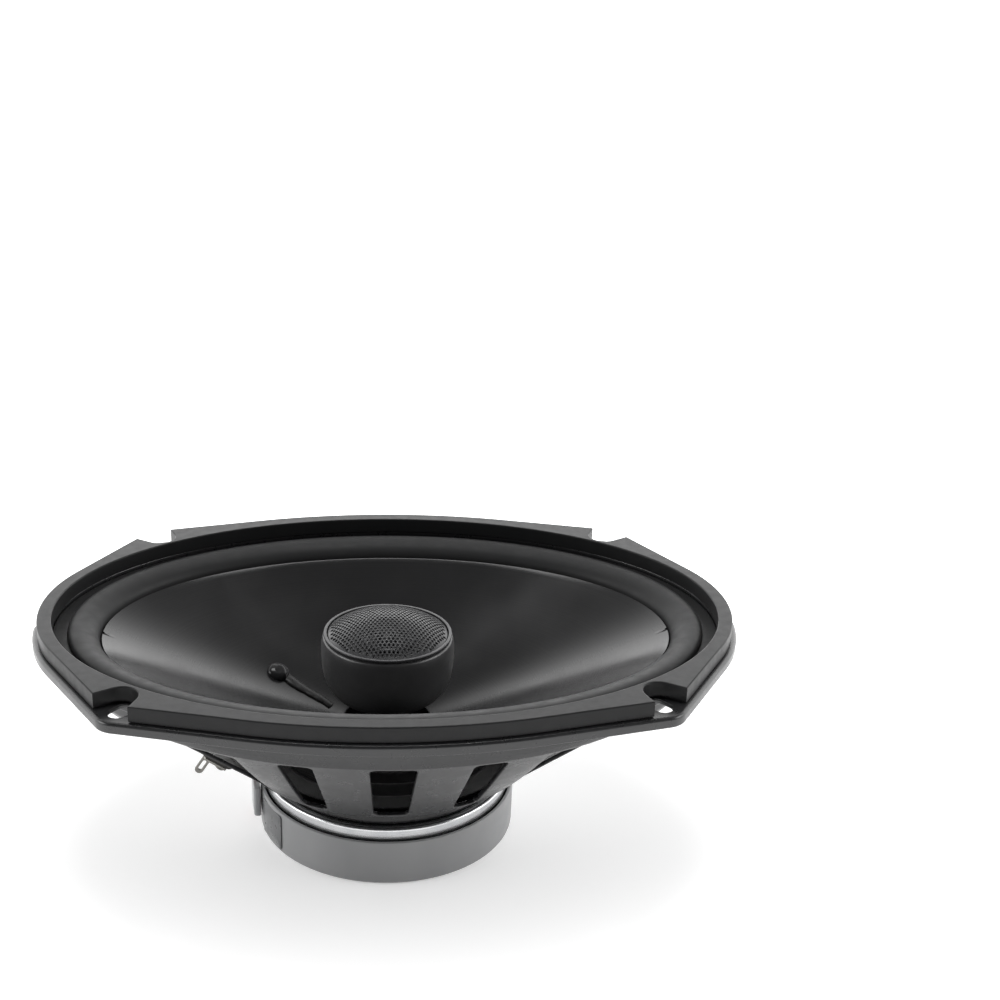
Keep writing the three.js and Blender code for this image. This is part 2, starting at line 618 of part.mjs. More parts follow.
function tweeterDomeGeometry() {
  const { z, radius, height, surround, thickness } = DOME;
  const sphere = (radius ** 2 + height ** 2) / (2 * height);
  const half = Math.asin(radius / sphere);
  const front = [];
  for (let i = 0; i <= 5; i += 1) {
    const angle = half * i / 5;
    front.push([sphere * Math.sin(angle), z + height - sphere + sphere * Math.cos(angle)]);
  }
  front.push([(radius + surround) / 2, z + 0.7], [surround, z]);
  const back = front.map(([r, h]) => [r, h - thickness]).reverse();
  return turned([...front, ...back], SMALL_SIDES, false);
}

function smallDisc({ radius, bottom, top }) {
  return disc(radius, bottom, top, SMALL_SIDES);
}

function hexNut(bottom, top) {
  const shape = new THREE.Shape();
  const bore = POST.stud + GAP;
  for (let i = 0; i < 6; i += 1) {
    const angle = Math.PI * i / 3;
    const radius = NUT.across / Math.sqrt(3);
    if (i === 0) shape.moveTo(radius, 0);
    else shape.lineTo(radius * Math.cos(angle), radius * Math.sin(angle));
  }
  shape.holes.push(ellipsePath(bore, bore, 16));
  return slab(shape, bottom, top);
}

// ---------------------------------------------------------------- leads and wires
// A point lifted off the cone's front face by a piece of the given half thickness.
function onCone(x, y, half) {
  return [x, y, coneHeight(x, y) + 1.28 * (half + GAP)];
}

function coilLead(side) {
  return tube(LEAD_ROUTE.map(([x, y]) => onCone(x, side * y, LEAD_RIDGE)), LEAD_RIDGE, 12, 6);
}

function leadBead() {
  const { radius, height } = LEAD_BEAD;
  return turned([[0, 0], [radius, 0], [radius * 0.92, height * 0.55], [radius * 0.6, height * 0.9],
    [0, height]], 16, false);
}

function placeBead(name, side) {
  const bead = place(name, leadBead(), LOOK.polymer());
  const { x, y } = LEAD_BEAD;
  const step = 0.5;
  const slopeX = (coneHeight(x + step, y) - coneHeight(x - step, y)) / (2 * step);
  const slopeY = (coneHeight(x, y + step) - coneHeight(x, y - step)) / (2 * step);
  const normal = new THREE.Vector3(-slopeX, -side * slopeY, 1).normalize();
  bead.position.set(x, side * y, coneHeight(x, y)).addScaledVector(normal, 0.5);
  bead.quaternion.setFromUnitVectors(new THREE.Vector3(0, 0, 1), normal);
}

function tinselLead(side) {
  const start = new THREE.Vector3(TAB_RIVET.x, 0, TAB_RIVET.inner - GAP - TINSEL_RADIUS);
  start.applyMatrix4(terminalFrame().matrix);
  const end = coneHeight(LEAD_BEAD.x, LEAD_BEAD.y) - 1.3 * (CONE_THICKNESS + GAP) - 1;
  return tube([
    [start.x, side * TERMINAL.tabY, start.z], [-50.4, side * 15.2, start.z - 0.2],
    [-46.2, side * 15.9, start.z + 0.6], [-42, side * 15.8, start.z + 3],
    [LEAD_BEAD.x - 0.6, side * 15.2, end - 3], [LEAD_BEAD.x, side * LEAD_BEAD.y, end],
  ], TINSEL_RADIUS, 18, 6);
}

function polar(r, degrees, z) {
  const angle = degrees * Math.PI / 180;
  return [r * Math.cos(angle), r * Math.sin(angle), z];
}

// A point given in the terminal board's frame, lifted off the board's outer face.
function overBoard(x, y, lift) {
  return new THREE.Vector3(x, y, BOARD_TOP + lift).applyMatrix4(terminalFrame().matrix).toArray();
}

// Each tweeter wire lies under the motor and climbs the post's bore to the tweeter.
function tweeterWire(side, start) {
  const offset = side * WIRE.spread;
  const low = WIRE.floor;
  const along = (r, z) => {
    const c = Math.cos(WIRE.angle);
    const s = Math.sin(WIRE.angle);
    return [r * c - offset * s, r * s + offset * c, z];
  };
  const underMotor = [45.7, 45.2, 43, 36, 26, 14, 5].map((r) => along(r, low));
  const upThePost = [6, 16, 30, 44, 56.2].map((z) => along(0, z));
  return tube([...start, ...underMotor, along(1.5, low + 0.2), along(0.4, 3.6), ...upThePost],
    WIRE.radius, 44, 6);
}

function capacitorGeometry() {
  const { inner, outer, width, corner, bottom, top } = CAPACITOR;
  const shape = new THREE.Shape();
  const half = width / 2;
  shape.moveTo(inner, -half);
  shape.lineTo(outer - corner, -half);
  shape.absarc(outer - corner, corner - half, corner, -Math.PI / 2, 0);
  shape.absarc(outer - corner, half - corner, corner, 0, Math.PI / 2);
  shape.lineTo(inner, half);
  return slab(shape, bottom, top, 4).rotateZ(CAPACITOR.angle);
}

// ---------------------------------------------------------------- assembly: frame
place('basket', basketGeometry(), LOOK.paint());
place('trim_gasket', gasketGeometry(), LOOK.rubber());
place('surround', surroundGeometry(), LOOK.rubber());
place('spider', spiderGeometry(), LOOK.cloth());

place('top_plate', topPlateGeometry(), LOOK.zinc());
place('ferrite_magnet', ring(FERRITE.inner, FERRITE.outer, FERRITE.bottom, FERRITE.top), LOOK.ferrite());
place('yoke', yokeGeometry(), LOOK.zinc());
place('magnet_boot', bootGeometry(), LOOK.boot());
place('boot_label', labelGeometry(), LOOK.plastic());

RIVET_ANGLES.forEach((angle, index) => {
  const rivet = place(`plate_rivet_${index + 1}`, rivetGeometry(), LOOK.steel());
  rivet.position.set(RIVET.circle * Math.cos(angle), RIVET.circle * Math.sin(angle), 0);
});

// ---------------------------------------------------------------- assembly: cone
place('cone', coneGeometry(), LOOK.polymer());
const former = ring(FORMER.inner, FORMER.outer, FORMER.bottom, FORMER.top);
const winding = ring(FORMER.outer + 0.1, WINDING.outer, WINDING.bottom, WINDING.top);
place('voice_coil_former', former, LOOK.steel());
place('voice_coil_winding', winding, LOOK.copper());

for (const [label, side] of [['front', -1], ['back', 1]]) {
  placeBead(`lead_bead_${label}`, side);
  place(`coil_lead_${label}`, coilLead(side), LOOK.polymer());
  place(`tinsel_lead_${label}`, tinselLead(side), LOOK.copper());
}

// ---------------------------------------------------------------- assembly: terminals
const terminals = terminalFrame();
speaker.add(terminals);
place('terminal_board', terminalBoard(), LOOK.fibre(), terminals);
place('board_rivet', boardRivet(), LOOK.steel(), terminals);
for (const [label, side, width] of [['negative', -1, TAB.negative], ['positive', 1, TAB.positive]]) {
  place(`${label}_tab`, tabGeometry(width), LOOK.tin(), terminals).position.y = side * TERMINAL.tabY;
  const rivet = place(`${label}_tab_rivet`, tabRivet(), LOOK.tin(), terminals);
  rivet.position.set(TAB_RIVET.x, side * TERMINAL.tabY, 0);
}

// ---------------------------------------------------------------- assembly: tweeter
place('tweeter_post', postGeometry(), LOOK.steel());
place('post_washer', ring(POST.stud + GAP, WASHER.outer, WASHER.bottom, WASHER.top, 24), LOOK.steel());
place('post_nut', hexNut(NUT.postBottom, NUT.postTop), LOOK.steel());
place('pod_nut', hexNut(NUT.podBottom, NUT.podTop), LOOK.steel());
place('tweeter_housing', podGeometry(), LOOK.plastic());
place('tweeter_bezel', ring(BEZEL.inner, BEZEL.outer, BEZEL.bottom, BEZEL.top, 32), LOOK.mesh());
place('tweeter_grille', grilleGeometry(), LOOK.mesh());
place('tweeter_faceplate', faceplateGeometry(), LOOK.plastic());
place('tweeter_yoke', turned([
  [0, TWEETER_CUP.bottom], [TWEETER_CUP.outer, TWEETER_CUP.bottom], [TWEETER_CUP.outer, TWEETER_CUP.top],
  [TWEETER_CUP.inner, TWEETER_CUP.top], [TWEETER_CUP.inner, TWEETER_CUP.bottom + TWEETER_CUP.floor],
  [0, TWEETER_CUP.bottom + TWEETER_CUP.floor],
], SMALL_SIDES, false), LOOK.steel());
place('tweeter_magnet', smallDisc(TWEETER_MAGNET), LOOK.zinc());
place('tweeter_top_plate', smallDisc(TWEETER_PLATE), LOOK.steel());
const tweeterCoil = [TWEETER_COIL.inner, TWEETER_COIL.outer, TWEETER_COIL.bottom, TWEETER_COIL.top];
place('tweeter_coil', ring(...tweeterCoil, SMALL_SIDES), LOOK.copper());
place('tweeter_dome', tweeterDomeGeometry(), LOOK.cloth());

// ---------------------------------------------------------------- assembly: crossover
place('crossover_capacitor', capacitorGeometry(), LOOK.tin());
const capacitorLead = tube([
  polar(46, 186, CAPACITOR.top + GAP), polar(46.6, 184, 19.6), polar(49.8, 181, 21.2),
  polar(50.9, 176.6, 22.6), overBoard(-9.3, 6, -0.4), overBoard(-7.4, 8, 1.3),
  overBoard(-3, 10.6, 1), overBoard(0, 11.4, 0.9),
], WIRE.radius, 16, 6);
place('capacitor_lead', capacitorLead, LOOK.wire());
const fromCapacitor = [
  polar(46.2, 185.5, CAPACITOR.bottom - GAP), polar(46.2, 183, 3.8), polar(46.2, 179.5, 2.7),
  polar(46.2, 177, WIRE.floor),
];
place('tweeter_wire_positive', tweeterWire(1, fromCapacitor), LOOK.wire());
const fromNegativeTab = [
  overBoard(0, -11.4, 0.9), overBoard(-3, -8, 0.9), overBoard(-7, -4.6, 1.5),
  overBoard(-9.8, -2.4, -0.4), polar(47.6, 179.5, 22.4), polar(46.9, 175.5, 17),
  polar(46, 172.8, 9), polar(46, 172.6, 3.8),
];
place('tweeter_wire_negative', tweeterWire(-1, fromNegativeTab), LOOK.plastic());

export default speaker;
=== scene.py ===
import math

import bmesh
import bpy
import numpy as np
from mathutils import Matrix, Vector, noise
from mathutils.geometry import delaunay_2d_cdt


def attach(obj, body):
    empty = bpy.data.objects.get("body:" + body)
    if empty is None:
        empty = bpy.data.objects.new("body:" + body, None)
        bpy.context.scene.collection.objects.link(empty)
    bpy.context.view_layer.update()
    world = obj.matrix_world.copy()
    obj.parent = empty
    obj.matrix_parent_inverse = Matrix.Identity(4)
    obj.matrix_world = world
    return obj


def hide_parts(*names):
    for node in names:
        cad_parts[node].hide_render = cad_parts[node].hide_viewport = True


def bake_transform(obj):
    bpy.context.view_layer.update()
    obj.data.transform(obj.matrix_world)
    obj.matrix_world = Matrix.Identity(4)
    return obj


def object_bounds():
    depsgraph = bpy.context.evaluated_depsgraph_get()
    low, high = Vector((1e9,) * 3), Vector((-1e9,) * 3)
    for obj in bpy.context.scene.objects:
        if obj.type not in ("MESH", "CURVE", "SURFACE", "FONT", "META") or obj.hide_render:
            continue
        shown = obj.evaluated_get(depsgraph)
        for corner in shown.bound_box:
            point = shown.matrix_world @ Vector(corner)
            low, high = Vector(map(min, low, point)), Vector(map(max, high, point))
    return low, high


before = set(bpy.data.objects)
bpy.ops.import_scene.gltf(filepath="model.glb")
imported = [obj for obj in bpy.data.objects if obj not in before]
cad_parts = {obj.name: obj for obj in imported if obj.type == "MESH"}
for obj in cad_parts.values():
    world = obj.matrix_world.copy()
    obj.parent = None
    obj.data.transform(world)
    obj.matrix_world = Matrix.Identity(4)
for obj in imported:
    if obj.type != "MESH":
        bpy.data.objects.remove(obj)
CAD_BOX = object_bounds()

# The looks of a 6x9 inch coaxial car speaker. Sizes below are millimetres in the row frame:
# the origin is the centre of the magnet's back, +Z points to the listener, +X runs along
# the long axis of the oval, and the terminals are at -X.
MM = 0.001
OVAL_STEPS = 240
ROUND_STEPS = 160
POST_STEPS = 96
SMALL_STEPS = 64
RIVET_STEPS = 40
GAP = 0.3
CORNERS = [(1, 1), (-1, 1), (-1, -1), (1, -1)]
SIDES = (("front", -1), ("back", 1))

# ---- camera
CAMERA_AT = Vector((-14.5, -496.1, 319.4)) * MM
CAMERA_AZIMUTH = math.radians(-3.783)
CAMERA_ELEVATION = math.radians(23.993)
CAMERA_ROLL = math.radians(1.29)
CAMERA_LENS = 58.8
CAMERA_SHIFT = (0.0567, 0.0596)


def make_camera():
    back = Vector((
        math.sin(CAMERA_AZIMUTH) * math.cos(CAMERA_ELEVATION),
        -math.cos(CAMERA_AZIMUTH) * math.cos(CAMERA_ELEVATION),
        math.sin(CAMERA_ELEVATION),
    ))
    level = (-back).cross(Vector((0, 0, 1))).normalized()
    upright = level.cross(-back)
    right = math.cos(CAMERA_ROLL) * level + math.sin(CAMERA_ROLL) * upright
    up = math.cos(CAMERA_ROLL) * upright - math.sin(CAMERA_ROLL) * level
    data = bpy.data.cameras.new("camera")
    data.lens = CAMERA_LENS
    data.shift_x, data.shift_y = CAMERA_SHIFT
    data.clip_start = 0.01
    data.clip_end = 100
    camera = bpy.data.objects.new("camera", data)
    bpy.context.scene.collection.objects.link(camera)
    matrix = Matrix((right, up, back)).transposed().to_4x4()
    matrix.translation = CAMERA_AT
    camera.matrix_world = matrix
    bpy.context.scene.camera = camera


make_camera()

# ---- driving dimensions
SHEET = 1.4
FLANGE_TOP = 75.5
FLANGE_HALF_X = 118.0
FLANGE_HALF_Y = 83.3
END_ARC_RADIUS = 60.0
SIDE_ARC_RADIUS = 190.0
CORNER_X, CORNER_Y, CORNER_RADIUS = 82.6, 60.2, 8.0
RIM_DROP = 3.7
END_NOTCH_HALF, END_NOTCH_DEPTH = 3.0, 0.8
SLOT_X, SLOT_Y, SLOT_WIDTH, SLOT_LENGTH = 82.0, 60.3, 5.9, 9.0
SLOT_ANGLE = math.radians(50)
WELL = (111.9, 76.9)
LEDGE_TOP = FLANGE_TOP - 2.4
LEDGE_INNER = (103.4, 71.4)
COLLAR_OUTER = (105.4, 75.6)
COLLAR_BOTTOM = 65.0
WALL_TOP = (103.0, 74.6, 62.4)
WALL_BOTTOM = (51.0, 48.5, 28.8)
SEAT_OUTER, SEAT_INNER, SEAT_BOTTOM = 40.8, 17.6, 20.8
WINDOW_TOP, WINDOW_BOTTOM = 61.4, 30.0
WINDOW_CORNER, WINDOW_STEP = 2.6, 2.5
# Window edges as (at the top, at the bottom): the centre window's half width, the near and far
# edge of the window beside it, and the X and Y of a corner window's end leg and side leg.
CENTRE_WINDOW = (7.3, 5.5)
SIDE_WINDOW = ((24.8, 20.2), (35.4, 28))
CORNER_WINDOW = ((94, 43.5), (33, 28), (48.5, 39.5), (64.7, 41))

GASKET_INSET, GASKET_BOTTOM, GASKET_TOP = 1.8, 75.8, 80.9
GASKET_INNER = (111.4, 76.4)
RELIEF_RADIUS, RELIEF_FLARE = 5.4, math.radians(18.5)

ROLL_OUTER = (106.7, 72.2)
ROLL_TOP = FLANGE_TOP + 1.1
ROLL_THICKNESS = 0.8
SURROUND_OUTER = (111.5, 76.5)
CONE_EDGE = (95.3, 60.3, FLANGE_TOP - 3.8)
CONE_NECK = (15.7, 37.2)
CONE_BEND = 0.12
CONE_THICKNESS = 1.0
SPIDER_Z, SPIDER_INNER, SPIDER_LAND, SPIDER_OUTER = 30.0, 15.7, 39.0, 46.2

BEAD_X, BEAD_Y, BEAD_RADIUS, BEAD_HEIGHT = -38.0, 14.8, 4.1, 2.2
TERMINAL_X = -57.0
TAB_Y = 14.5
BOARD_LOW, BOARD_TOP = 0.4, 2.0
TAB_RIVET_X, TAB_RIVET_LOW = -2.2, -2.6
RIVET_CIRCLE = 30.0
CAPACITOR_ANGLE = math.radians(187)
WIRE_ANGLE = math.radians(174)
WIRE_RADIUS = 0.5
GRILLE_RADIUS, GRILLE_BOTTOM, GRILLE_TOP = 20.4, 71.0, 77.5
GRILLE_PITCH, GRILLE_HOLE = 1.45, 0.52


# ---- mesh helpers
class Shape:
    """Points and faces in millimetres, with the faces that stay flat shaded."""

    def __init__(self):
        self.points = []
        self.faces = []
        self.flat = []

    def add(self, points, faces, flat=False):
        start = len(self.points)
        self.points += [tuple(p) for p in points]
        self.faces += [tuple(start + i for i in face) for face in faces]
        self.flat += [flat] * len(faces)
        return self

    def band(self, rows):
        """Joins rows of points, each a closed loop, with strips of faces."""
        count = len(rows[0])
        faces = []
        for k in range(len(rows) - 1):
            for i in range(count):
                j = (i + 1) % count
                faces.append((k * count + i, k * count + j, (k + 1) * count + j, (k + 1) * count + i))
        return self.add([p for row in rows for p in row], faces)

    def join(self, other):
        self.add(other.points, other.faces)
        self.flat[-len(other.flat):] = other.flat
        return self

    def mapped(self, place):
        """The same faces, with each point moved to place(x, y, z)."""
        shape = Shape().join(self)
        shape.points = [tuple(place(*p)) for p in self.points]
        return shape

    def moved(self, matrix):
        return self.mapped(lambda *p: matrix @ Vector(p))


def make_object(name, shape, sharp=40):
    """A closed mesh. Edges that turn by more than sharp degrees stay crisp."""
    mesh = bpy.data.meshes.new(name)
    mesh.from_pydata([Vector(p) * MM for p in shape.points], [], shape.faces)
    mesh.polygons.foreach_set("use_smooth", [not flat for flat in shape.flat])
    work = bmesh.new()
    work.from_mesh(mesh)
    bmesh.ops.remove_doubles(work, verts=work.verts, dist=2e-6)
    bmesh.ops.dissolve_degenerate(work, edges=work.edges, dist=1e-7)
    bmesh.ops.recalc_face_normals(work, faces=work.faces)
    work.to_mesh(mesh)
    work.free()
    keep = [polygon.use_smooth for polygon in mesh.polygons]
    mesh.set_sharp_from_angle(angle=math.radians(sharp))
    mesh.polygons.foreach_set("use_smooth", keep)
    piece = bpy.data.objects.new(name, mesh)
    bpy.context.scene.collection.objects.link(piece)
    return piece


def finish_piece(piece, material, node, body="frame", ride=True):
    """Gives a piece its material, hides its CAD node, and hangs the piece on its body unless ride is off.

    A material has its slot's name, which Blender numbers as .001 beside the CAD's own."""
    piece.data.materials.clear()
    piece.data.materials.append(material)
    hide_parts(node)
    if ride:
        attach(piece, body)


def make_piece(node, shape, material, body="frame", sharp=40):
    finish_piece(make_object(node + "_fine", shape, sharp), material, node, body)


def rounded(profile, closed=True, steps=5):
    """Rounds the corners of a profile of (a, b, z, radius) points. An open one keeps its ends."""
    out = []
    count = len(profile)
    for i, (a, b, z, radius) in enumerate(profile):
        here = Vector((a, b, z))
        if radius == 0 or (not closed and i in (0, count - 1)):
            out.append(here)
            continue
        before = Vector(profile[i - 1][:3]) - here
        after = Vector(profile[(i + 1) % count][:3]) - here
        start = here + before.normalized() * min(radius, before.length * 0.5)
        stop = here + after.normalized() * min(radius, after.length * 0.5)
        for k in range(steps + 1):
            t = k / steps
            out.append(start * (1 - t) ** 2 + here * 2 * t * (1 - t) + stop * t * t)
    return out


def even_angles(steps):
    return [2 * math.pi * i / steps for i in range(steps)]


def lathe(profile, angles=None, closed=True):
    """Sweeps a profile of (a, b, z) points, with half axes a and b, round the oval."""
    angles = angles or even_angles(OVAL_STEPS)
    shape = Shape()
    rows = []
    for a, b, z in profile:
        start = len(shape.points)
        if a < 1e-6:
            shape.points.append((0, 0, z))
            rows.append([start] * len(angles))
        else:
            shape.points += [(a * math.cos(t), b * math.sin(t), z) for t in angles]
            rows.append([start + i for i in range(len(angles))])
    pairs = list(zip(rows, rows[1:]))
    if closed:
        pairs.append((rows[-1], rows[0]))
    for low, high in pairs:
        for i in range(len(angles)):
            j = (i + 1) % len(angles)
            face = tuple(dict.fromkeys([low[i], low[j], high[j], high[i]]))
            if len(face) > 2:
                shape.faces.append(face)
                shape.flat.append(False)
    return shape


def turned(profile, steps=ROUND_STEPS, closed=True):
    """A round turned piece from (radius, height, rounding) points."""
    soft = rounded([(r, r, z, round_) for r, z, round_ in profile], closed)
    return lathe(soft, even_angles(steps), closed)


def ring(inner, outer, bottom, top, edge, steps=ROUND_STEPS):
    corners = [(inner, bottom), (outer, bottom), (outer, top), (inner, top)]
    return turned([(r, z, edge) for r, z in corners], steps)


def disc(radius, bottom, top, edge, steps):
    return turned([(0, bottom, 0), (radius, bottom, edge), (radius, top, edge), (0, top, 0)], steps, False)


def offset_loop(loop, distance):
    """Moves an anticlockwise loop inwards by a distance."""
    points = np.array(loop, float)
    edges = np.roll(points, -1, 0) - points
    lengths = np.linalg.norm(edges, axis=1)[:, None]
    normals = np.column_stack([-edges[:, 1], edges[:, 0]]) / np.maximum(lengths, 1e-9)
    before = np.roll(normals, 1, 0)
    share = 1 + (before * normals).sum(1)[:, None]
    mitre = (before + normals) / np.maximum(share, 0.4)
    return points + mitre * distance


def crossings(x, y, ends):
    """How many edges, given by their two ends, a line from the point towards +X crosses."""
    (ax, ay), (bx, by) = ends[:, 0].T, ends[:, 1].T
    rise = np.where(ay == by, 1, by - ay)
    return (((ay > y) != (by > y)) & (x < (bx - ax) * (y - ay) / rise + ax)).sum()


def fill(loops, inner_points=()):
    """Triangles inside the first loop and outside the others, through any inner points."""
    coords = []
    edges = []
    for loop in loops:
        start = len(coords)
        count = len(loop)
        coords += [Vector((float(p[0]), float(p[1]))) for p in loop]
        edges += [(start + i, start + (i + 1) % count) for i in range(count)]
    ends = np.array([[tuple(coords[i]) for i in edge] for edge in edges])
    coords += [Vector((float(p[0]), float(p[1]))) for p in inner_points]
    points, _, faces, *_ = delaunay_2d_cdt(coords, edges, [], 0, 1e-7, False)
    middles = np.array([tuple(sum((points[i] for i in face), Vector((0, 0))) / 3) for face in faces])
    kept = [face for face, middle in zip(faces, middles) if crossings(*middle, ends) % 2]
    return points, kept


def plate(outline, holes, rim, hole_rim=()):
    """A flat piece. rim lists (inset, height) down its outer side, and hole_rim down a hole's."""
    shape = Shape()
    sides = [(outline, rim, 1)] + [(hole, hole_rim, -1) for hole in holes]
    for loop, steps, way in sides:
        shape.band([[(*p, z) for p in offset_loop(loop, way * inset)] for inset, z in steps])
    for end in (0, -1):
        loops = [offset_loop(loop, way * steps[end][0]) for loop, steps, way in sides]
        points, faces = fill(loops)
        shape.add([(p[0], p[1], rim[end][1]) for p in points], faces, flat=True)
    return shape


def quarter_turns(steps):
    """(sine, cosine) gaps of a rounded edge, from its flat to its side."""
    angles = [math.pi / 2 * k / steps for k in range(steps + 1)]
    return [(1 - math.sin(t), 1 - math.cos(t)) for t in angles]


def edge_steps(low, high, edge, steps=4):
    """(inset, height) down a straight side with both edges rounded."""
    upper = [(edge * s, high - edge * c) for s, c in quarter_turns(steps)]
    return upper + [(edge * c, low + edge * s) for s, c in quarter_turns(steps)]


def bisect(passed):
    """The share from 0 to 1 at which passed(share) turns true."""
    low, high = 0.0, 1.0
    for _ in range(40):
        middle = (low + high) / 2
        if passed(middle):
            high = middle
        else:
            low = middle
    return (low + high) / 2


def between(p, q, share):
    return (p[0] + (q[0] - p[0]) * share, p[1] + (q[1] - p[1]) * share)


def straight(p, q, pieces):
    """Even points from p up to, but without, q."""
    return [between(p, q, i / pieces) for i in range(pieces)]


def arc(x, y, radius, start, stop, step=1.5):
    count = max(3, int(abs(stop - start) * radius / step))
    return [(x + radius * math.cos(start + (stop - start) * i / count),
             y + radius * math.sin(start + (stop - start) * i / count)) for i in range(count + 1)]


def circle(x, y, radius, steps=40):
    return [(x + radius * math.cos(t), y + radius * math.sin(t)) for t in even_angles(steps)]


def ellipse(a, b, steps=OVAL_STEPS):
    return [(a * math.cos(t), b * math.sin(t)) for t in even_angles(steps)]


def round_box(half_x, half_y, radius, step=0.4):
    quarter = math.pi / 2
    points = []
    for i, (sx, sy) in enumerate(CORNERS):
        x, y = sx * (half_x - radius), sy * (half_y - radius)
        points += arc(x, y, radius, i * quarter, (i + 1) * quarter, step)
    return points


def curve_points(points, steps):
    """A smooth line through the points, even in length."""
    control = [Vector(p) for p in points]
    control = [2 * control[0] - control[1], *control, 2 * control[-1] - control[-2]]
    dense = []
    pieces = 24
    for i in range(1, len(control) - 2):
        p0, p1, p2, p3 = control[i - 1:i + 3]
        for t in (k / pieces for k in range(pieces)):
            dense.append(0.5 * (2 * p1 + (p2 - p0) * t + (2 * p0 - 5 * p1 + 4 * p2 - p3) * t * t
                                + (3 * p1 - p0 - 3 * p2 + p3) * t ** 3))
    dense.append(control[-2])
    lengths = [0.0]
    for p, q in zip(dense, dense[1:]):
        lengths.append(lengths[-1] + (q - p).length)
    columns = np.array([tuple(p) for p in dense]).T
    at = np.linspace(0, lengths[-1], steps + 1)
    return [Vector(p) for p in zip(*(np.interp(at, lengths, column) for column in columns))]


def path_frames(path, up=None):
    """Each point of a path with its sideways and its upward direction. up(point) may set the latter."""
    side = None
    for i, point in enumerate(path):
        way = (path[min(i + 1, len(path) - 1)] - path[max(i - 1, 0)]).normalized()
        if up is not None:
            side = way.cross(up(point)).normalized()
        elif side is None:
            start = Vector((0, 0, 1)) if abs(way.z) < 0.9 else Vector((1, 0, 0))
            side = way.cross(start).normalized()
        else:
            side = (side - way * side.dot(way)).normalized()
        yield point, side, side.cross(way)


def tube(path, width, height=None, sides=12, up=None, size=None):
    """Sweeps an oval section along a path. size(share) scales it, and up(point) sets its top."""
    height = height or width
    rows = []
    for i, (point, side, top) in enumerate(path_frames(path, up)):
        scale = size(i / (len(path) - 1)) if size else 1
        rows.append([point + side * (width * scale * math.cos(t)) + top * (height * scale * math.sin(t))
                     for t in even_angles(sides)])
    shape = Shape().band(rows)
    last = (len(rows) - 1) * sides
    shape.faces += [tuple(range(sides)), tuple(last + i for i in reversed(range(sides)))]
    shape.flat += [False, False]
    return shape


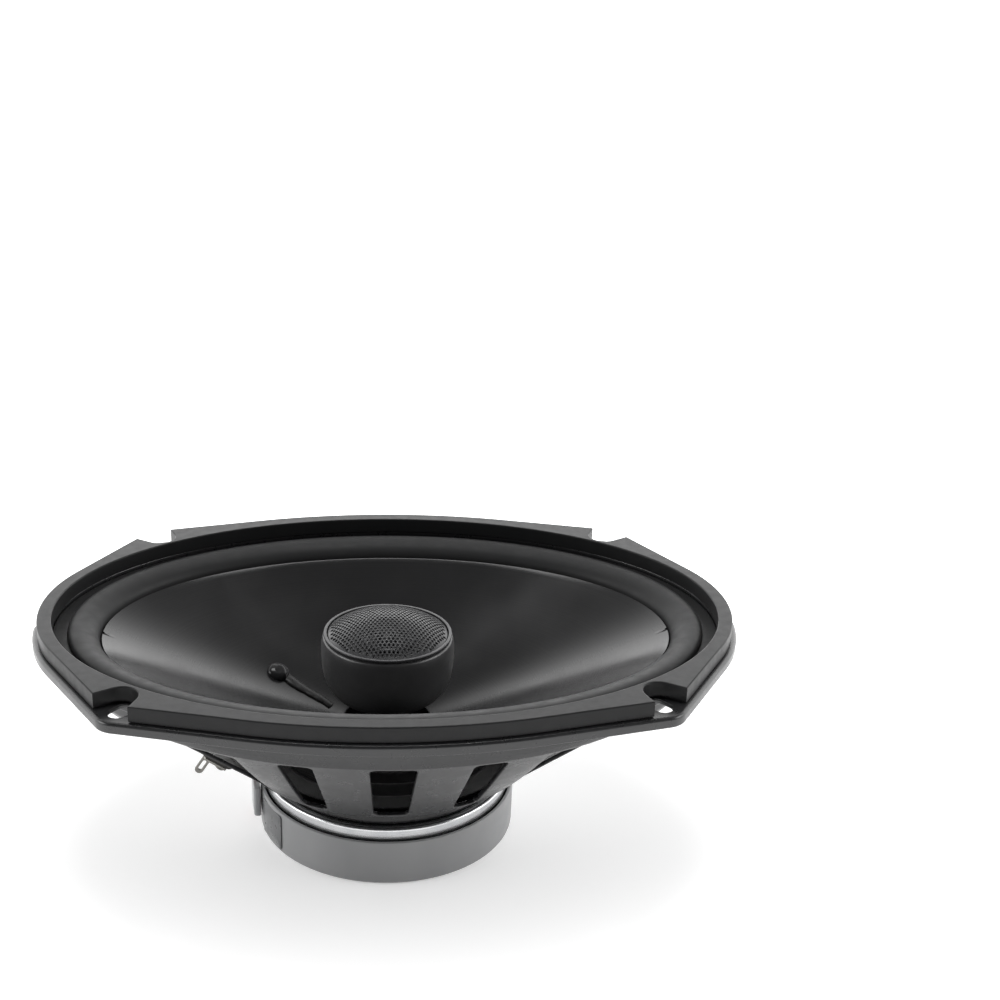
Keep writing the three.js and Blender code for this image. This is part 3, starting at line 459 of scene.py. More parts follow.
# ---- materials
class Finish:
    """A material whose colour, roughness and relief vary over the surface."""

    def __init__(self, name, colour, roughness, metallic=0.0, specular=0.36):
        self.material = bpy.data.materials.new(name)
        self.material.use_nodes = True
        self.tree = self.material.node_tree
        self.shader = self.tree.nodes["Principled BSDF"]
        self.shader.inputs["Base Color"].default_value = (*colour, 1)
        self.shader.inputs["Roughness"].default_value = roughness
        self.shader.inputs["Metallic"].default_value = metallic
        self.shader.inputs["Specular IOR Level"].default_value = specular
        self.place = self.tree.nodes.new("ShaderNodeTexCoord").outputs["Object"]
        self.colour = None
        self.relief = None

    def set(self, **values):
        for name, value in values.items():
            self.shader.inputs[name.replace("_", " ")].default_value = value
        return self

    def node(self, kind, inputs=None, **settings):
        node = self.tree.nodes.new("ShaderNode" + kind)
        for name, value in settings.items():
            setattr(node, name, value)
        for name, value in (inputs or {}).items():
            if isinstance(value, bpy.types.NodeSocket):
                self.tree.links.new(value, node.inputs[name])
            else:
                node.inputs[name].default_value = value
        return node

    def math(self, operation, first, second=0.0):
        return self.node("Math", {0: first, 1: second}, operation=operation).outputs[0]

    def noise(self, size, detail, stretch=(1, 1, 1)):
        """Noise whose cells are about size millimetres across."""
        mapped = self.node("Mapping", {"Vector": self.place, "Scale": stretch}).outputs[0]
        out = self.node("TexNoise", {"Vector": mapped, "Scale": 1 / (size * MM), "Detail": detail})
        return out.outputs["Fac"]

    def rings(self, size, by="z"):
        """Fine lines round the piece: by height on the cone, by radius and height on turned metal."""
        parts = self.node("SeparateXYZ", {"Vector": self.place}).outputs
        value = parts[2]
        if by == "radius":
            flat = self.node("CombineXYZ", {"X": parts[0], "Y": parts[1]}).outputs[0]
            length = self.node("VectorMath", {0: flat}, operation="LENGTH").outputs["Value"]
            value = self.math("ADD", length, parts[2])
        inputs = {"W": value, "Scale": 1 / (size * MM), "Detail": 2.0}
        return self.node("TexNoise", inputs, noise_dimensions="1D").outputs["Fac"]

    def wave(self, axis, pitch):
        """A sine along one axis that repeats every pitch millimetres."""
        part = self.node("SeparateXYZ", {"Vector": self.place}).outputs[axis]
        return self.math("SINE", self.math("MULTIPLY", part, 2 * math.pi / (pitch * MM)))

    def spread(self, value, start, stop, low, high, kind="LINEAR"):
        """Maps the values from start to stop onto those from low to high."""
        inputs = {"Value": value, "From Min": start, "From Max": stop, "To Min": low, "To Max": high}
        return self.node("MapRange", inputs, interpolation_type=kind).outputs["Result"]

    def range(self, value, low, high):
        """Maps the middle half of a noise onto the values from low to high."""
        return self.spread(value, 0.25, 0.75, low, high)

    def tint(self, value, colour):
        """Mixes towards another colour by a 0 to 1 value."""
        mix = self.node("Mix", data_type="RGBA")
        self.tree.links.new(value, mix.inputs[0])
        if self.colour is None:
            mix.inputs[6].default_value = self.shader.inputs["Base Color"].default_value[:]
        else:
            self.tree.links.new(self.colour, mix.inputs[6])
        mix.inputs[7].default_value = (*colour, 1)
        self.colour = mix.outputs[2]
        self.tree.links.new(self.colour, self.shader.inputs["Base Color"])
        return self

    def rough(self, value):
        self.tree.links.new(value, self.shader.inputs["Roughness"])
        return self

    def bump(self, value, depth):
        """Adds relief of about depth millimetres."""
        inputs = {"Height": value, "Distance": depth * MM, "Strength": 1.0}
        if self.relief is not None:
            inputs["Normal"] = self.relief
        self.relief = self.node("Bump", inputs).outputs[0]
        self.tree.links.new(self.relief, self.shader.inputs["Normal"])
        return self

    def mottle(self, size, detail, share, colour):
        """Soft patches that hold up to a share of another colour."""
        return self.tint(self.range(self.noise(size, detail), 0, share), colour)

    def vary(self, size, detail, low, high):
        """Roughness that wanders between two values."""
        return self.rough(self.range(self.noise(size, detail), low, high))

    def grain(self, size, detail, depth):
        """Relief whose cells are about size millimetres across."""
        return self.bump(self.noise(size, detail), depth)


def painted_steel():
    """Black semi-gloss coat with a faint orange peel."""
    look = Finish("painted_steel", (0.014, 0.0142, 0.015), 0.3, specular=0.5)
    look.mottle(9, 4, 0.5, (0.02, 0.02, 0.021))
    look.vary(5, 5, 0.24, 0.34)
    look.grain(1.1, 2, 0.004)
    return look.grain(0.25, 2, 0.0015).material


def gasket_rubber():
    """Satin moulded trim with a fine pebble."""
    look = Finish("gasket_rubber", (0.013, 0.0131, 0.0135), 0.4, specular=0.17)
    look.mottle(14, 4, 0.5, (0.019, 0.019, 0.0195))
    look.vary(3, 5, 0.34, 0.46)
    return look.grain(0.35, 2, 0.012).material


def surround_rubber():
    """Soft black butyl with a matt skin."""
    look = Finish("surround_rubber", (0.018, 0.0182, 0.0186), 0.5, specular=0.17)
    look.mottle(11, 4, 0.5, (0.026, 0.026, 0.0265))
    look.vary(4, 5, 0.45, 0.58)
    return look.grain(0.3, 3, 0.01).material


def cone_polymer():
    """Glossy black polypropylene with fine rings moulded round it."""
    look = Finish("cone_polymer", (0.019, 0.019, 0.0195), 0.2, specular=0.27)
    lines = look.rings(0.16)
    look.tint(look.range(lines, 0, 0.3), (0.034, 0.034, 0.035))
    blend = look.math("MULTIPLY", lines, look.noise(16, 3))
    look.rough(look.spread(blend, 0.1, 0.45, 0.15, 0.27))
    look.bump(lines, 0.0015)
    return look.grain(2.5, 2, 0.002).material


def glue():
    """Clear black cement over the coil leads."""
    look = Finish("cone_glue", (0.012, 0.012, 0.012), 0.3, specular=0.3)
    look.mottle(1.5, 4, 0.8, (0.022, 0.0215, 0.021))
    look.vary(1.2, 4, 0.24, 0.4)
    return look.grain(2, 3, 0.02).material


def spider_cloth():
    """Resin-stiffened cotton weave, dyed black."""
    look = Finish("spider_cloth", (0.022, 0.022, 0.023), 0.85)
    look.set(Sheen_Weight=0.3)
    weave = look.math("MULTIPLY", look.wave(0, 0.7), look.wave(1, 0.7))
    look.tint(look.spread(weave, -1, 1, 0, 1), (0.011, 0.011, 0.0115))
    look.mottle(6, 4, 0.4, (0.032, 0.032, 0.033))
    look.vary(2, 4, 0.75, 0.95)
    return look.bump(weave, 0.08).material


def metal(name, colour, other, roughness, ring=0.22, depth=0.006, spot=6, by="radius"):
    """Turned or plated metal, with fine lines and soft stains."""
    look = Finish(name, colour, roughness, metallic=1)
    look.mottle(spot, 4, 0.7, other)
    lines = look.rings(ring, by)
    look.rough(look.range(lines, roughness * 0.7, roughness * 1.35))
    look.bump(lines, depth)
    return look.grain(0.5, 3, 0.004).material


def ferrite():
    """Dark, rough sintered ceramic."""
    look = Finish("ferrite", (0.035, 0.035, 0.038), 0.6)
    look.mottle(0.7, 5, 1, (0.075, 0.074, 0.076))
    look.vary(1.5, 5, 0.45, 0.8)
    return look.grain(0.6, 5, 0.05).material


def boot_rubber():
    """Grey moulded cover over the magnet, satin, with faint lighter grey streaks that run up and down."""
    look = Finish("boot_rubber", (0.225, 0.227, 0.231), 0.4)
    look.tint(look.range(look.noise(22, 3, (1, 1, 0.4)), 0, 0.8), (0.275, 0.277, 0.28))
    look.vary(7, 5, 0.34, 0.52)
    return look.grain(0.4, 3, 0.01).material


def label_film():
    """A plain matt film label, with no lettering."""
    look = Finish("label_film", (0.1, 0.102, 0.105), 0.3)
    look.mottle(8, 3, 0.6, (0.13, 0.132, 0.135))
    look.vary(2, 4, 0.24, 0.38)
    return look.grain(0.5, 2, 0.002).material


def moulded(name, colour, other, roughness, grain=0.3, depth=0.01, specular=0.5):
    """Moulded plastic with a fine spark-eroded grain."""
    look = Finish(name, colour, roughness, specular=specular)
    look.mottle(7, 4, 0.6, other)
    look.vary(2.5, 5, roughness * 0.85, roughness * 1.2)
    return look.grain(grain, 3, depth).material


def terminal_plastic():
    """Black phenolic paper board with its fibres showing."""
    look = Finish("terminal_plastic", (0.014, 0.013, 0.012), 0.5)
    look.tint(look.range(look.noise(1.2, 4, (1, 6, 1)), 0, 1), (0.03, 0.027, 0.024))
    look.vary(1, 4, 0.45, 0.68)
    return look.bump(look.noise(0.5, 3, (1, 5, 1)), 0.02).material


def wound(name, colour, other, pitch):
    """Fine wire wound in level turns."""
    look = Finish(name, colour, 0.32, metallic=1)
    turns = look.wave(2, pitch)
    look.tint(look.spread(turns, -1, 1, 0, 1), other)
    look.vary(1, 3, 0.26, 0.42)
    return look.bump(turns, 0.06).material


def dome_film():
    """Thin black film with a light coat."""
    look = Finish("dome_film", (0.03, 0.03, 0.034), 0.3)
    look.set(Coat_Weight=0.3)
    look.mottle(2, 3, 0.6, (0.05, 0.05, 0.056))
    look.vary(1, 4, 0.25, 0.4)
    return look.grain(0.25, 2, 0.006).material


def glowing_floor_paper():
    """White paper with a painted glow that is weakest near the part, so the soft pool round the part is
    partly real shadow and partly painted shade.
    """
    look = Finish("glowing_floor_paper", (0.85, 0.85, 0.85), 0.75, specular=0.1)
    look.set(Emission_Color=(1, 1, 1, 1))
    oval = look.node("VectorMath", {0: look.place, 1: (1, 1.8, 1)}, operation="MULTIPLY").outputs[0]
    reach = look.node("VectorMath", {0: oval}, operation="LENGTH").outputs["Value"]
    # painted shade: the glow falls off close to the part, so the floor round it is darker than its real
    # shadow alone makes it
    glow = look.spread(reach, 0.08, 0.34, 0.3, 1.0, "SMOOTHSTEP")
    look.tree.links.new(glow, look.shader.inputs["Emission Strength"])
    look.mottle(90, 3, 0.5, (0.83, 0.83, 0.83))
    return look.grain(2, 3, 0.01).material


PAINT = painted_steel()
TRIM = gasket_rubber()
BUTYL = surround_rubber()
POLYMER = cone_polymer()
GLUE = glue()
CLOTH = spider_cloth()
ZINC = metal("zinc_plate", (0.7, 0.705, 0.71), (0.5, 0.51, 0.53), 0.26)
STEEL = metal("plain_steel", (0.56, 0.565, 0.57), (0.42, 0.42, 0.43), 0.34)
FERRITE = ferrite()
BOOT = boot_rubber()
LABEL = label_film()
FORMER = metal("former_aluminium", (0.03, 0.03, 0.032), (0.05, 0.05, 0.052), 0.45, ring=0.4)
COPPER = wound("copper_wire", (0.72, 0.3, 0.14), (0.35, 0.12, 0.05), 0.3)
TINSEL = metal("tinsel_braid", (0.66, 0.4, 0.26), (0.5, 0.27, 0.15), 0.38, ring=0.5, by="z")
BOARD = terminal_plastic()
TIN = metal("tinned_brass", (0.24, 0.235, 0.22), (0.16, 0.155, 0.14), 0.3, ring=0.4, by="z")
POST = moulded("post_plastic", (0.025, 0.025, 0.026), (0.04, 0.04, 0.041), 0.45)
POD = moulded("pod_plastic", (0.03, 0.03, 0.031), (0.042, 0.042, 0.043), 0.36, 0.22, 0.01, 0.65)
GRILLE = moulded("grille_metal", (0.024, 0.024, 0.026), (0.036, 0.036, 0.038), 0.36, 0.4, 0.006, 0.4)
NICKEL = metal("nickel_magnet", (0.7, 0.68, 0.63), (0.6, 0.58, 0.53), 0.2)
DOME = dome_film()
CAPACITOR = moulded("capacitor_film", (0.3, 0.305, 0.31), (0.24, 0.245, 0.25), 0.32, depth=0.006)
RED = moulded("red_insulation", (0.36, 0.02, 0.015), (0.28, 0.014, 0.01), 0.4)
BLACK = moulded("black_insulation", (0.02, 0.02, 0.02), (0.035, 0.035, 0.035), 0.4)


# ---- flange outline
def flange_outline(inset, step=1.5):
    """Two ends, two sides and four corners joined by their outer tangents."""
    end_x, end_r = FLANGE_HALF_X - END_ARC_RADIUS, END_ARC_RADIUS - inset
    side_y, side_r = FLANGE_HALF_Y - SIDE_ARC_RADIUS, SIDE_ARC_RADIUS - inset
    corner_r = CORNER_RADIUS - inset

    def tangent(x, y, radius):
        dx, dy = CORNER_X - x, CORNER_Y - y
        return math.atan2(dy, dx), math.acos((radius - corner_r) / math.hypot(dx, dy))

    way, turn = tangent(end_x, 0, end_r)
    end_stop = way - turn
    way, turn = tangent(0, side_y, side_r)
    side_start = way + turn
    half = math.pi / 2
    quarter = arc(end_x, 0, end_r, 0, end_stop, step)
    quarter += arc(CORNER_X, CORNER_Y, corner_r, end_stop, side_start, 0.6)
    quarter += arc(0, side_y, side_r, side_start, half, step)
    left = [(-x, y) for x, y in reversed(quarter[:-1])]
    upper = quarter + left
    lower = [(x, -y) for x, y in reversed(upper[1:-1])]
    return [p for p, q in zip(upper + lower, (upper + lower)[1:] + [upper[0]]) if math.dist(p, q) > 0.05]


def notched(outline):
    """Cuts the small locating notch into each end of the flange."""
    fine = []
    for p, q in zip(outline, outline[1:] + outline[:1]):
        pieces = 4 if min(abs(p[1]), abs(q[1])) < END_NOTCH_HALF + 1 else 1
        fine += straight(p, q, pieces)
    out = []
    for x, y in fine:
        share = 0.5 + 0.5 * math.cos(math.pi * min(1, abs(y) / END_NOTCH_HALF))
        out.append((x - math.copysign(END_NOTCH_DEPTH * share, x), y))
    return out


def corner_angle(sx, sy):
    """The direction of a corner's screw slot, outwards."""
    return math.atan2(sy * math.sin(SLOT_ANGLE), sx * math.cos(SLOT_ANGLE))


def screw_slot(sx, sy):
    reach = (SLOT_LENGTH - SLOT_WIDTH) / 2
    radius = SLOT_WIDTH / 2
    half = math.pi / 2
    loop = arc(reach, 0, radius, -half, half, 0.5) + arc(-reach, 0, radius, half, 3 * half, 0.5)
    turn = corner_angle(sx, sy)
    return [(sx * SLOT_X + x * math.cos(turn) - y * math.sin(turn),
             sy * SLOT_Y + x * math.sin(turn) + y * math.cos(turn)) for x, y in loop]


# ---- basket
WALL_ANGLES = even_angles(OVAL_STEPS)
BAND_TOP, BAND_BOTTOM = 62.0, 29.2
UNROLL_X, UNROLL_Z = 85.0, 1.4


def wall_size(z):
    """The wall's half axes at a height."""
    share = (z - WALL_BOTTOM[2]) / (WALL_TOP[2] - WALL_BOTTOM[2])
    return between(WALL_BOTTOM, WALL_TOP, share)


def wall_point(t, z, depth):
    """A point of the sloping wall: depth 0 is its outer face and 1 its inner face."""
    a, b = wall_size(z)
    inset = SHEET * depth
    return ((a - inset) * math.cos(t), (b - inset) * math.sin(t), z + inset / 2)


def line_between(top, bottom):
    def at(z):
        share = (z - WINDOW_BOTTOM) / (WINDOW_TOP - WINDOW_BOTTOM)
        return bottom + (top - bottom) * share
    return at


def side_window(left, right, back):
    """A window of the long sides, given by the X of its two edges at each height."""
    def angle(x, z):
        turn = math.acos(x / wall_size(z)[0])
        return turn if back else 2 * math.pi - turn
    first, second = (right, left) if back else (left, right)
    return (lambda z: angle(first(z), z)), (lambda z: angle(second(z), z))


def corner_window(sx, sy):
    """A window between the end leg and the first leg of the long side."""
    leg_x, leg_y, side_x, side_y = [line_between(top, bottom) for top, bottom in CORNER_WINDOW]

    def angle(x, y, z):
        a, b = wall_size(z)
        return math.atan2(sy * y(z) / b, sx * x(z) / a) % (2 * math.pi)
    edges = [lambda z: angle(leg_x, leg_y, z), lambda z: angle(side_x, side_y, z)]
    return tuple(edges) if sx * sy > 0 else tuple(reversed(edges))


def window_loops():
    """Four corner windows and three along each long side."""
    edges = [corner_window(sx, sy) for sx, sy in CORNERS]
    near, far = SIDE_WINDOW

    def mirrored(edge):
        return tuple(-x for x in edge)
    pairs = ((mirrored(CENTRE_WINDOW), CENTRE_WINDOW), (near, far), (mirrored(far), mirrored(near)))
    for back in (True, False):
        edges += [side_window(line_between(*left), line_between(*right), back) for left, right in pairs]
    return [window_loop(left, right) for left, right in edges]


def window_loop(left, right):
    """The window's outline on the unrolled wall, with round corners."""
    middle = (WINDOW_TOP + WINDOW_BOTTOM) / 2
    width = (right(middle) - left(middle)) * UNROLL_X
    height = (WINDOW_TOP - WINDOW_BOTTOM) * UNROLL_Z
    corners = [(0, 0), (width, 0), (width, height), (0, height)]
    soft = rounded([(x, y, 0, WINDOW_CORNER) for x, y in corners], steps=6)
    soft = [(p.x / width, p.y / height) for p in soft]
    loop = []
    for i in range(4):
        turn = soft[7 * i:7 * i + 7]
        pieces = int((height if i % 2 else width) / WINDOW_STEP)
        loop += turn + straight(turn[-1], soft[(7 * i + 7) % 28], pieces)[1:]
    out = []
    for p, q in loop:
        z = WINDOW_BOTTOM + (WINDOW_TOP - WINDOW_BOTTOM) * q
        t = left(z) + (right(z) - left(z)) * p
        out.append((t * UNROLL_X, z * UNROLL_Z))
    return out


def wall_band(loops):
    """The sloping wall between its collar and its seat, with the windows cut out."""
    edge, clearance, rows = 0.4, 1.2, 12
    shape = Shape()
    angles = WALL_ANGLES + [2 * math.pi]
    heights = [BAND_BOTTOM + (BAND_TOP - BAND_BOTTOM) * i / rows for i in range(1, rows)]
    outer = [(t * UNROLL_X, BAND_BOTTOM * UNROLL_Z) for t in angles]
    outer += [(2 * math.pi * UNROLL_X, z * UNROLL_Z) for z in heights]
    outer += [(t * UNROLL_X, BAND_TOP * UNROLL_Z) for t in reversed(angles)]
    outer += [(0, z * UNROLL_Z) for z in reversed(heights)]
    grown = [offset_loop(loop, -edge) for loop in loops]
    clear = [offset_loop(loop, -clearance) for loop in loops]
    ends = np.concatenate([np.stack([loop, np.roll(loop, -1, 0)], 1) for loop in clear])
    grid = [(t * UNROLL_X, z * UNROLL_Z) for z in heights for t in WALL_ANGLES[1:]]
    seeds = [point for point in grid if crossings(*point, ends) % 2 == 0]
    points, faces = fill([outer, *grown], seeds)
    for depth in (0, 1):
        shape.add([wall_point(u / UNROLL_X, v / UNROLL_Z, depth) for u, v in points], faces)
    for loop in loops:
        rows = []
        for inset, level in edge_steps(0, SHEET, edge, 3):
            row = offset_loop(loop, -inset)
            rows.append([wall_point(u / UNROLL_X, v / UNROLL_Z, 1 - level / SHEET) for u, v in row])
        shape.band(rows)
    return shape


def basket_shape():
    """The collar under the flange, the wall with its windows, and the seat on the motor."""
    top_a, top_b = wall_size(BAND_TOP)
    low_a, low_b = wall_size(BAND_BOTTOM)
    t = SHEET
    collar = rounded([
        (top_a, top_b, BAND_TOP, 0),
        (*WALL_TOP, 0.35),
        (*COLLAR_OUTER, COLLAR_BOTTOM, 0.9),
        (*COLLAR_OUTER, LEDGE_TOP - t, 0.7),
        (WELL[0] + t, WELL[1] + t, LEDGE_TOP - t, 0.9),
        (WELL[0] + t, WELL[1] + t, FLANGE_TOP - t / 2, 0),
        (*WELL, FLANGE_TOP - t / 2, 0),
        (*WELL, LEDGE_TOP, 0.4),
        (*LEDGE_INNER, LEDGE_TOP, 0.4),
        (*LEDGE_INNER, LEDGE_TOP - t, 0.2),
        (COLLAR_OUTER[0] - t, COLLAR_OUTER[1] - t, LEDGE_TOP - t, 0.3),
        (COLLAR_OUTER[0] - t, COLLAR_OUTER[1] - t, COLLAR_BOTTOM, 0.9),
        (WALL_TOP[0] - t, WALL_TOP[1] - t, WALL_TOP[2] + t / 2, 0.35),
        (top_a - t, top_b - t, BAND_TOP + t / 2, 0),
    ], closed=False)
    shoulder = WALL_BOTTOM[2] - 1
    seat = rounded([
        (low_a - t, low_b - t, BAND_BOTTOM + t / 2, 0),
        (WALL_BOTTOM[0] - t, WALL_BOTTOM[1] - t, shoulder + t + 0.3, 0.2),
        (SEAT_OUTER - t, SEAT_OUTER - t, shoulder + t, 0.8),
        (SEAT_OUTER - t, SEAT_OUTER - t, SEAT_BOTTOM + t, 0.8),
        (SEAT_INNER, SEAT_INNER, SEAT_BOTTOM + t, 0.3),
        (SEAT_INNER, SEAT_INNER, SEAT_BOTTOM, 0.3),
        (SEAT_OUTER, SEAT_OUTER, SEAT_BOTTOM, 1.6),
        (SEAT_OUTER, SEAT_OUTER, shoulder, 0.6),
        (WALL_BOTTOM[0] - 1.5, WALL_BOTTOM[1] - 1.5, shoulder, 0.7),
        (*WALL_BOTTOM, 0.35),
        (low_a, low_b, BAND_BOTTOM, 0),
    ], closed=False)
    shape = wall_band(window_loops())
    shape.join(lathe(collar, WALL_ANGLES, False))
    shape.join(lathe(seat, WALL_ANGLES, False))
    return shape


def flange_shape():
    """The flat flange with a rolled rim, the well for the surround and four screw slots."""
    t = SHEET
    edge = 1.1
    low = FLANGE_TOP - RIM_DROP
    rim = [(edge * s, FLANGE_TOP - edge * c) for s, c in quarter_turns(6)]
    lip = t / 2 - 0.05
    for k in range(9):
        turn = math.pi * k / 8
        rim.append((lip - lip * math.cos(turn), low + lip - lip * math.sin(turn)))
    rim += [(t, FLANGE_TOP - t - 0.5), (t + 0.5, FLANGE_TOP - t)]
    hole_rim = edge_steps(FLANGE_TOP - t, FLANGE_TOP, 0.35)
    slots = [screw_slot(sx, sy) for sx, sy in CORNERS]
    holes = [ellipse(WELL[0] - 0.03, WELL[1] - 0.03), *slots]
    return plate(notched(flange_outline(0)), holes, rim, hole_rim)


def fuse(piece, other):
    """Joins another closed piece into this one and removes it."""
    joiner = piece.modifiers.new("fuse", "BOOLEAN")
    joiner.operation = "UNION"
    joiner.solver = "MANIFOLD"
    joiner.object = other
    bpy.context.view_layer.update()
    graph = bpy.context.evaluated_depsgraph_get()
    mesh = bpy.data.meshes.new_from_object(piece.evaluated_get(graph))
    piece.modifiers.clear()
    if len(mesh.polygons) > 0:
        piece.data = mesh
    bpy.data.objects.remove(other)


def make_basket():
    piece = make_object("basket_fine", basket_shape())
    fuse(piece, make_object("flange_fine", flange_shape()))
    finish_piece(piece, PAINT, "basket")


make_basket()


# ---- trim gasket
def relief_cut(outline, sx, sy):
    """Cuts the round, flared pocket over one screw slot into the outline."""
    turn = corner_angle(sx, sy)
    centre = Vector((sx * SLOT_X, sy * SLOT_Y))
    ahead = Vector((math.cos(turn), math.sin(turn)))
    across = Vector((-ahead.y, ahead.x))
    slope = math.tan(RELIEF_FLARE)
    half = RELIEF_RADIUS / math.cos(RELIEF_FLARE)

    def margin(p):
        local = Vector(p) - centre
        along = local.dot(ahead)
        return half + along * slope - abs(local.dot(across)) if along > 0 else -1.0

    count = len(outline)
    cut = [margin(p) > 0 for p in outline]
    start = next(i for i in range(count) if not cut[i] and cut[(i + 1) % count])
    stop = next(i for i in range(count) if cut[i] and not cut[(i + 1) % count])

    def crossing(p, q):
        return between(p, q, bisect(lambda share: margin(between(p, q, share)) > 0))

    first = crossing(outline[start], outline[(start + 1) % count])
    last = crossing(outline[(stop + 1) % count], outline[stop])
    side = math.copysign(1, (Vector(first) - centre).dot(across))
    swing = math.pi / 2 + RELIEF_FLARE
    pocket = []
    steps, clearance = 32, 0.8
    for k in range(steps + 1):
        angle = side * (swing + (2 * math.pi - 2 * swing) * k / steps)
        pocket.append(tuple(centre + ahead * (RELIEF_RADIUS * math.cos(angle))
                            + across * (RELIEF_RADIUS * math.sin(angle))))
    kept = []
    i = (stop + 1) % count
    while i != (start + 1) % count:
        if min(math.dist(outline[i], first), math.dist(outline[i], last)) > clearance:
            kept.append(outline[i])
        i = (i + 1) % count
    return kept + straight(first, pocket[0], 6) + pocket + straight(pocket[-1], last, 6)[1:] + [last]


def gasket_shape():
    outline = flange_outline(GASKET_INSET, 1.0)
    for sx, sy in CORNERS:
        outline = relief_cut(outline, sx, sy)
    rim = edge_steps(GASKET_BOTTOM, GASKET_TOP, 0.45)
    rim = [step for step in rim if step[1] > GASKET_BOTTOM + 1] + [(0, GASKET_BOTTOM)]
    return plate(outline, [ellipse(*GASKET_INNER, 360)], rim, rim)


make_piece("trim_gasket", gasket_shape(), TRIM)


# ---- cone and suspension
def cone_point(share, drop=0.0):
    """The cone's half axes and height, from its round neck at 0 to its oval edge at 1."""
    neck, z = CONE_NECK
    bow = share * (1 - CONE_BEND) + CONE_BEND * share * share
    return (*between((neck, neck), CONE_EDGE, share), z + (CONE_EDGE[2] - z) * bow - drop)


def is_outside(x, y, a, b):
    """Whether a point is outside the oval with half axes a and b."""
    return (x / a) ** 2 + (y / b) ** 2 > 1


def cone_height(x, y):
    """The height of the cone's front face over a point of its plan."""
    share = bisect(lambda share: not is_outside(x, y, *cone_point(share)[:2]))
    return cone_point(share)[2]


def cone_normal(x, y):
    step = 0.3
    slope_x = (cone_height(x + step, y) - cone_height(x - step, y)) / (2 * step)
    slope_y = (cone_height(x, y + step) - cone_height(x, y - step)) / (2 * step)
    return Vector((-slope_x, -slope_y, 1)).normalized()


def cone_shape():
    """The cone with a turned-up edge and a small notch at each end of the oval."""
    steps = 40
    stations = [i / steps for i in range(steps + 1)]
    front = [cone_point(s) for s in stations]
    a, b, z = front[-1]
    lip = [(a + 0.25, b + 0.25, z + 0.12), (a + 0.5, b + 0.5, z - 0.1), (a + 0.5, b + 0.5, z - 0.8)]
    back = [cone_point(s, CONE_THICKNESS) for s in reversed(stations)]
    angles = even_angles(OVAL_STEPS)
    notch_half, notch_depth, notch_step, clear_angle = 0.7, 0.6, 0.35, 0.036
    fine = [k * notch_step / CONE_EDGE[0] for k in range(-8, 9)]
    for middle in (0, math.pi):
        angles = [t for t in angles if min(abs(t - middle), 2 * math.pi - abs(t - middle)) > clear_angle]
        angles += [(middle + k) % (2 * math.pi) for k in fine]
    shape = lathe(front + lip + back, sorted(angles))

    def notch(x, y, z):
        near = math.hypot(abs(x) - CONE_EDGE[0] - 0.3, y) < notch_half + 0.4 and z > CONE_EDGE[2] - 2
        share = min(1, max(0, (notch_half - abs(y)) * 4)) if near else 0
        return (x - math.copysign(notch_depth * share, x), y, z)
    return shape.mapped(notch)


def surround_profile():
    """The half roll with a flat outer foot and an inner foot glued under the cone's edge."""
    t = ROLL_THICKNESS
    foot = LEDGE_TOP + GAP
    inner_a, inner_b, inner_z = CONE_EDGE[0] + 0.9, CONE_EDGE[1] + 0.9, CONE_EDGE[2] - 0.2
    steps = 28

    def arch(shrink):
        points = []
        for i in range(steps + 1):
            angle = math.pi * i / steps
            share = (1 - math.cos(angle)) / 2
            base = foot + t + (inner_z - foot - t) * share
            rise = (ROLL_TOP - (foot + t + inner_z) / 2) * math.sin(angle) ** 0.85
            narrow = shrink * math.cos(angle)
            points.append((ROLL_OUTER[0] + (inner_a - ROLL_OUTER[0]) * share - narrow,
                           ROLL_OUTER[1] + (inner_b - ROLL_OUTER[1]) * share - narrow,
                           base + rise - shrink * max(0.3, math.sin(angle))))
        return points
    over = arch(0)
    under = arch(t)[::-1]
    tuck = CONE_EDGE[2] - CONE_THICKNESS - GAP
    lip_a, lip_b, lip_z = cone_point(0.955, CONE_THICKNESS + GAP)
    return [
        (*SURROUND_OUTER, foot), (*SURROUND_OUTER, foot + t),
        (ROLL_OUTER[0] + 1.6, ROLL_OUTER[1] + 1.6, foot + t),
        (ROLL_OUTER[0] + 0.6, ROLL_OUTER[1] + 0.6, foot + t + 0.1),
        *over,
        (inner_a - 0.1, inner_b - 0.1, tuck), (lip_a, lip_b, lip_z), (lip_a, lip_b, lip_z - t),
        (inner_a - 0.2, inner_b - 0.2, tuck - t),
        *under,
    ]


def oval_share(x, y, outer, inner):
    """0 outside the outer oval and 1 inside the inner one, smooth between."""
    share = bisect(lambda share: is_outside(x, y, *between(outer, inner, share)))
    return share * share * (3 - 2 * share)


def bend_with_cone(piece, outer, inner):
    """Bakes the piece's place into its mesh and works out a weight for each point, 0 at the outer oval and 1
    at the inner one, which is not kept.
    """
    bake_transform(piece)
    weights = [oval_share(v.co.x / MM, v.co.y / MM, outer, inner) for v in piece.data.vertices]


make_piece("cone", cone_shape(), POLYMER, "cone_assembly", sharp=60)

roll = make_object("surround_fine", lathe(surround_profile()), 70)
finish_piece(roll, BUTYL, "surround", ride=False)
bend_with_cone(roll, (ROLL_OUTER[0] + 1.5, ROLL_OUTER[1] + 1.5), (CONE_EDGE[0] + 0.6, CONE_EDGE[1] + 0.6))


def spider_shape():
    """A cloth disc with three round corrugations, turned up where it meets the former."""
    rolls, height, thickness = 3, 1.3, 0.5
    start = SPIDER_INNER + 2.2
    line = [(SPIDER_INNER, 1.4), (SPIDER_INNER + 0.9, 0.8), (start, 0)]
    steps = rolls * 14
    for i in range(1, steps + 1):
        wave = height * math.sin(2 * math.pi * rolls * i / steps)
        line.append((start + (SPIDER_LAND - start) * i / steps, wave))
    line += [(SPIDER_LAND + 1, 0), (SPIDER_OUTER, 0)]
    front = [(r, r, SPIDER_Z + GAP + lift + thickness) for r, lift in line]
    back = [(r, r, SPIDER_Z + GAP + lift) for r, lift in reversed(line)]
    return lathe(front + back, even_angles(ROUND_STEPS))


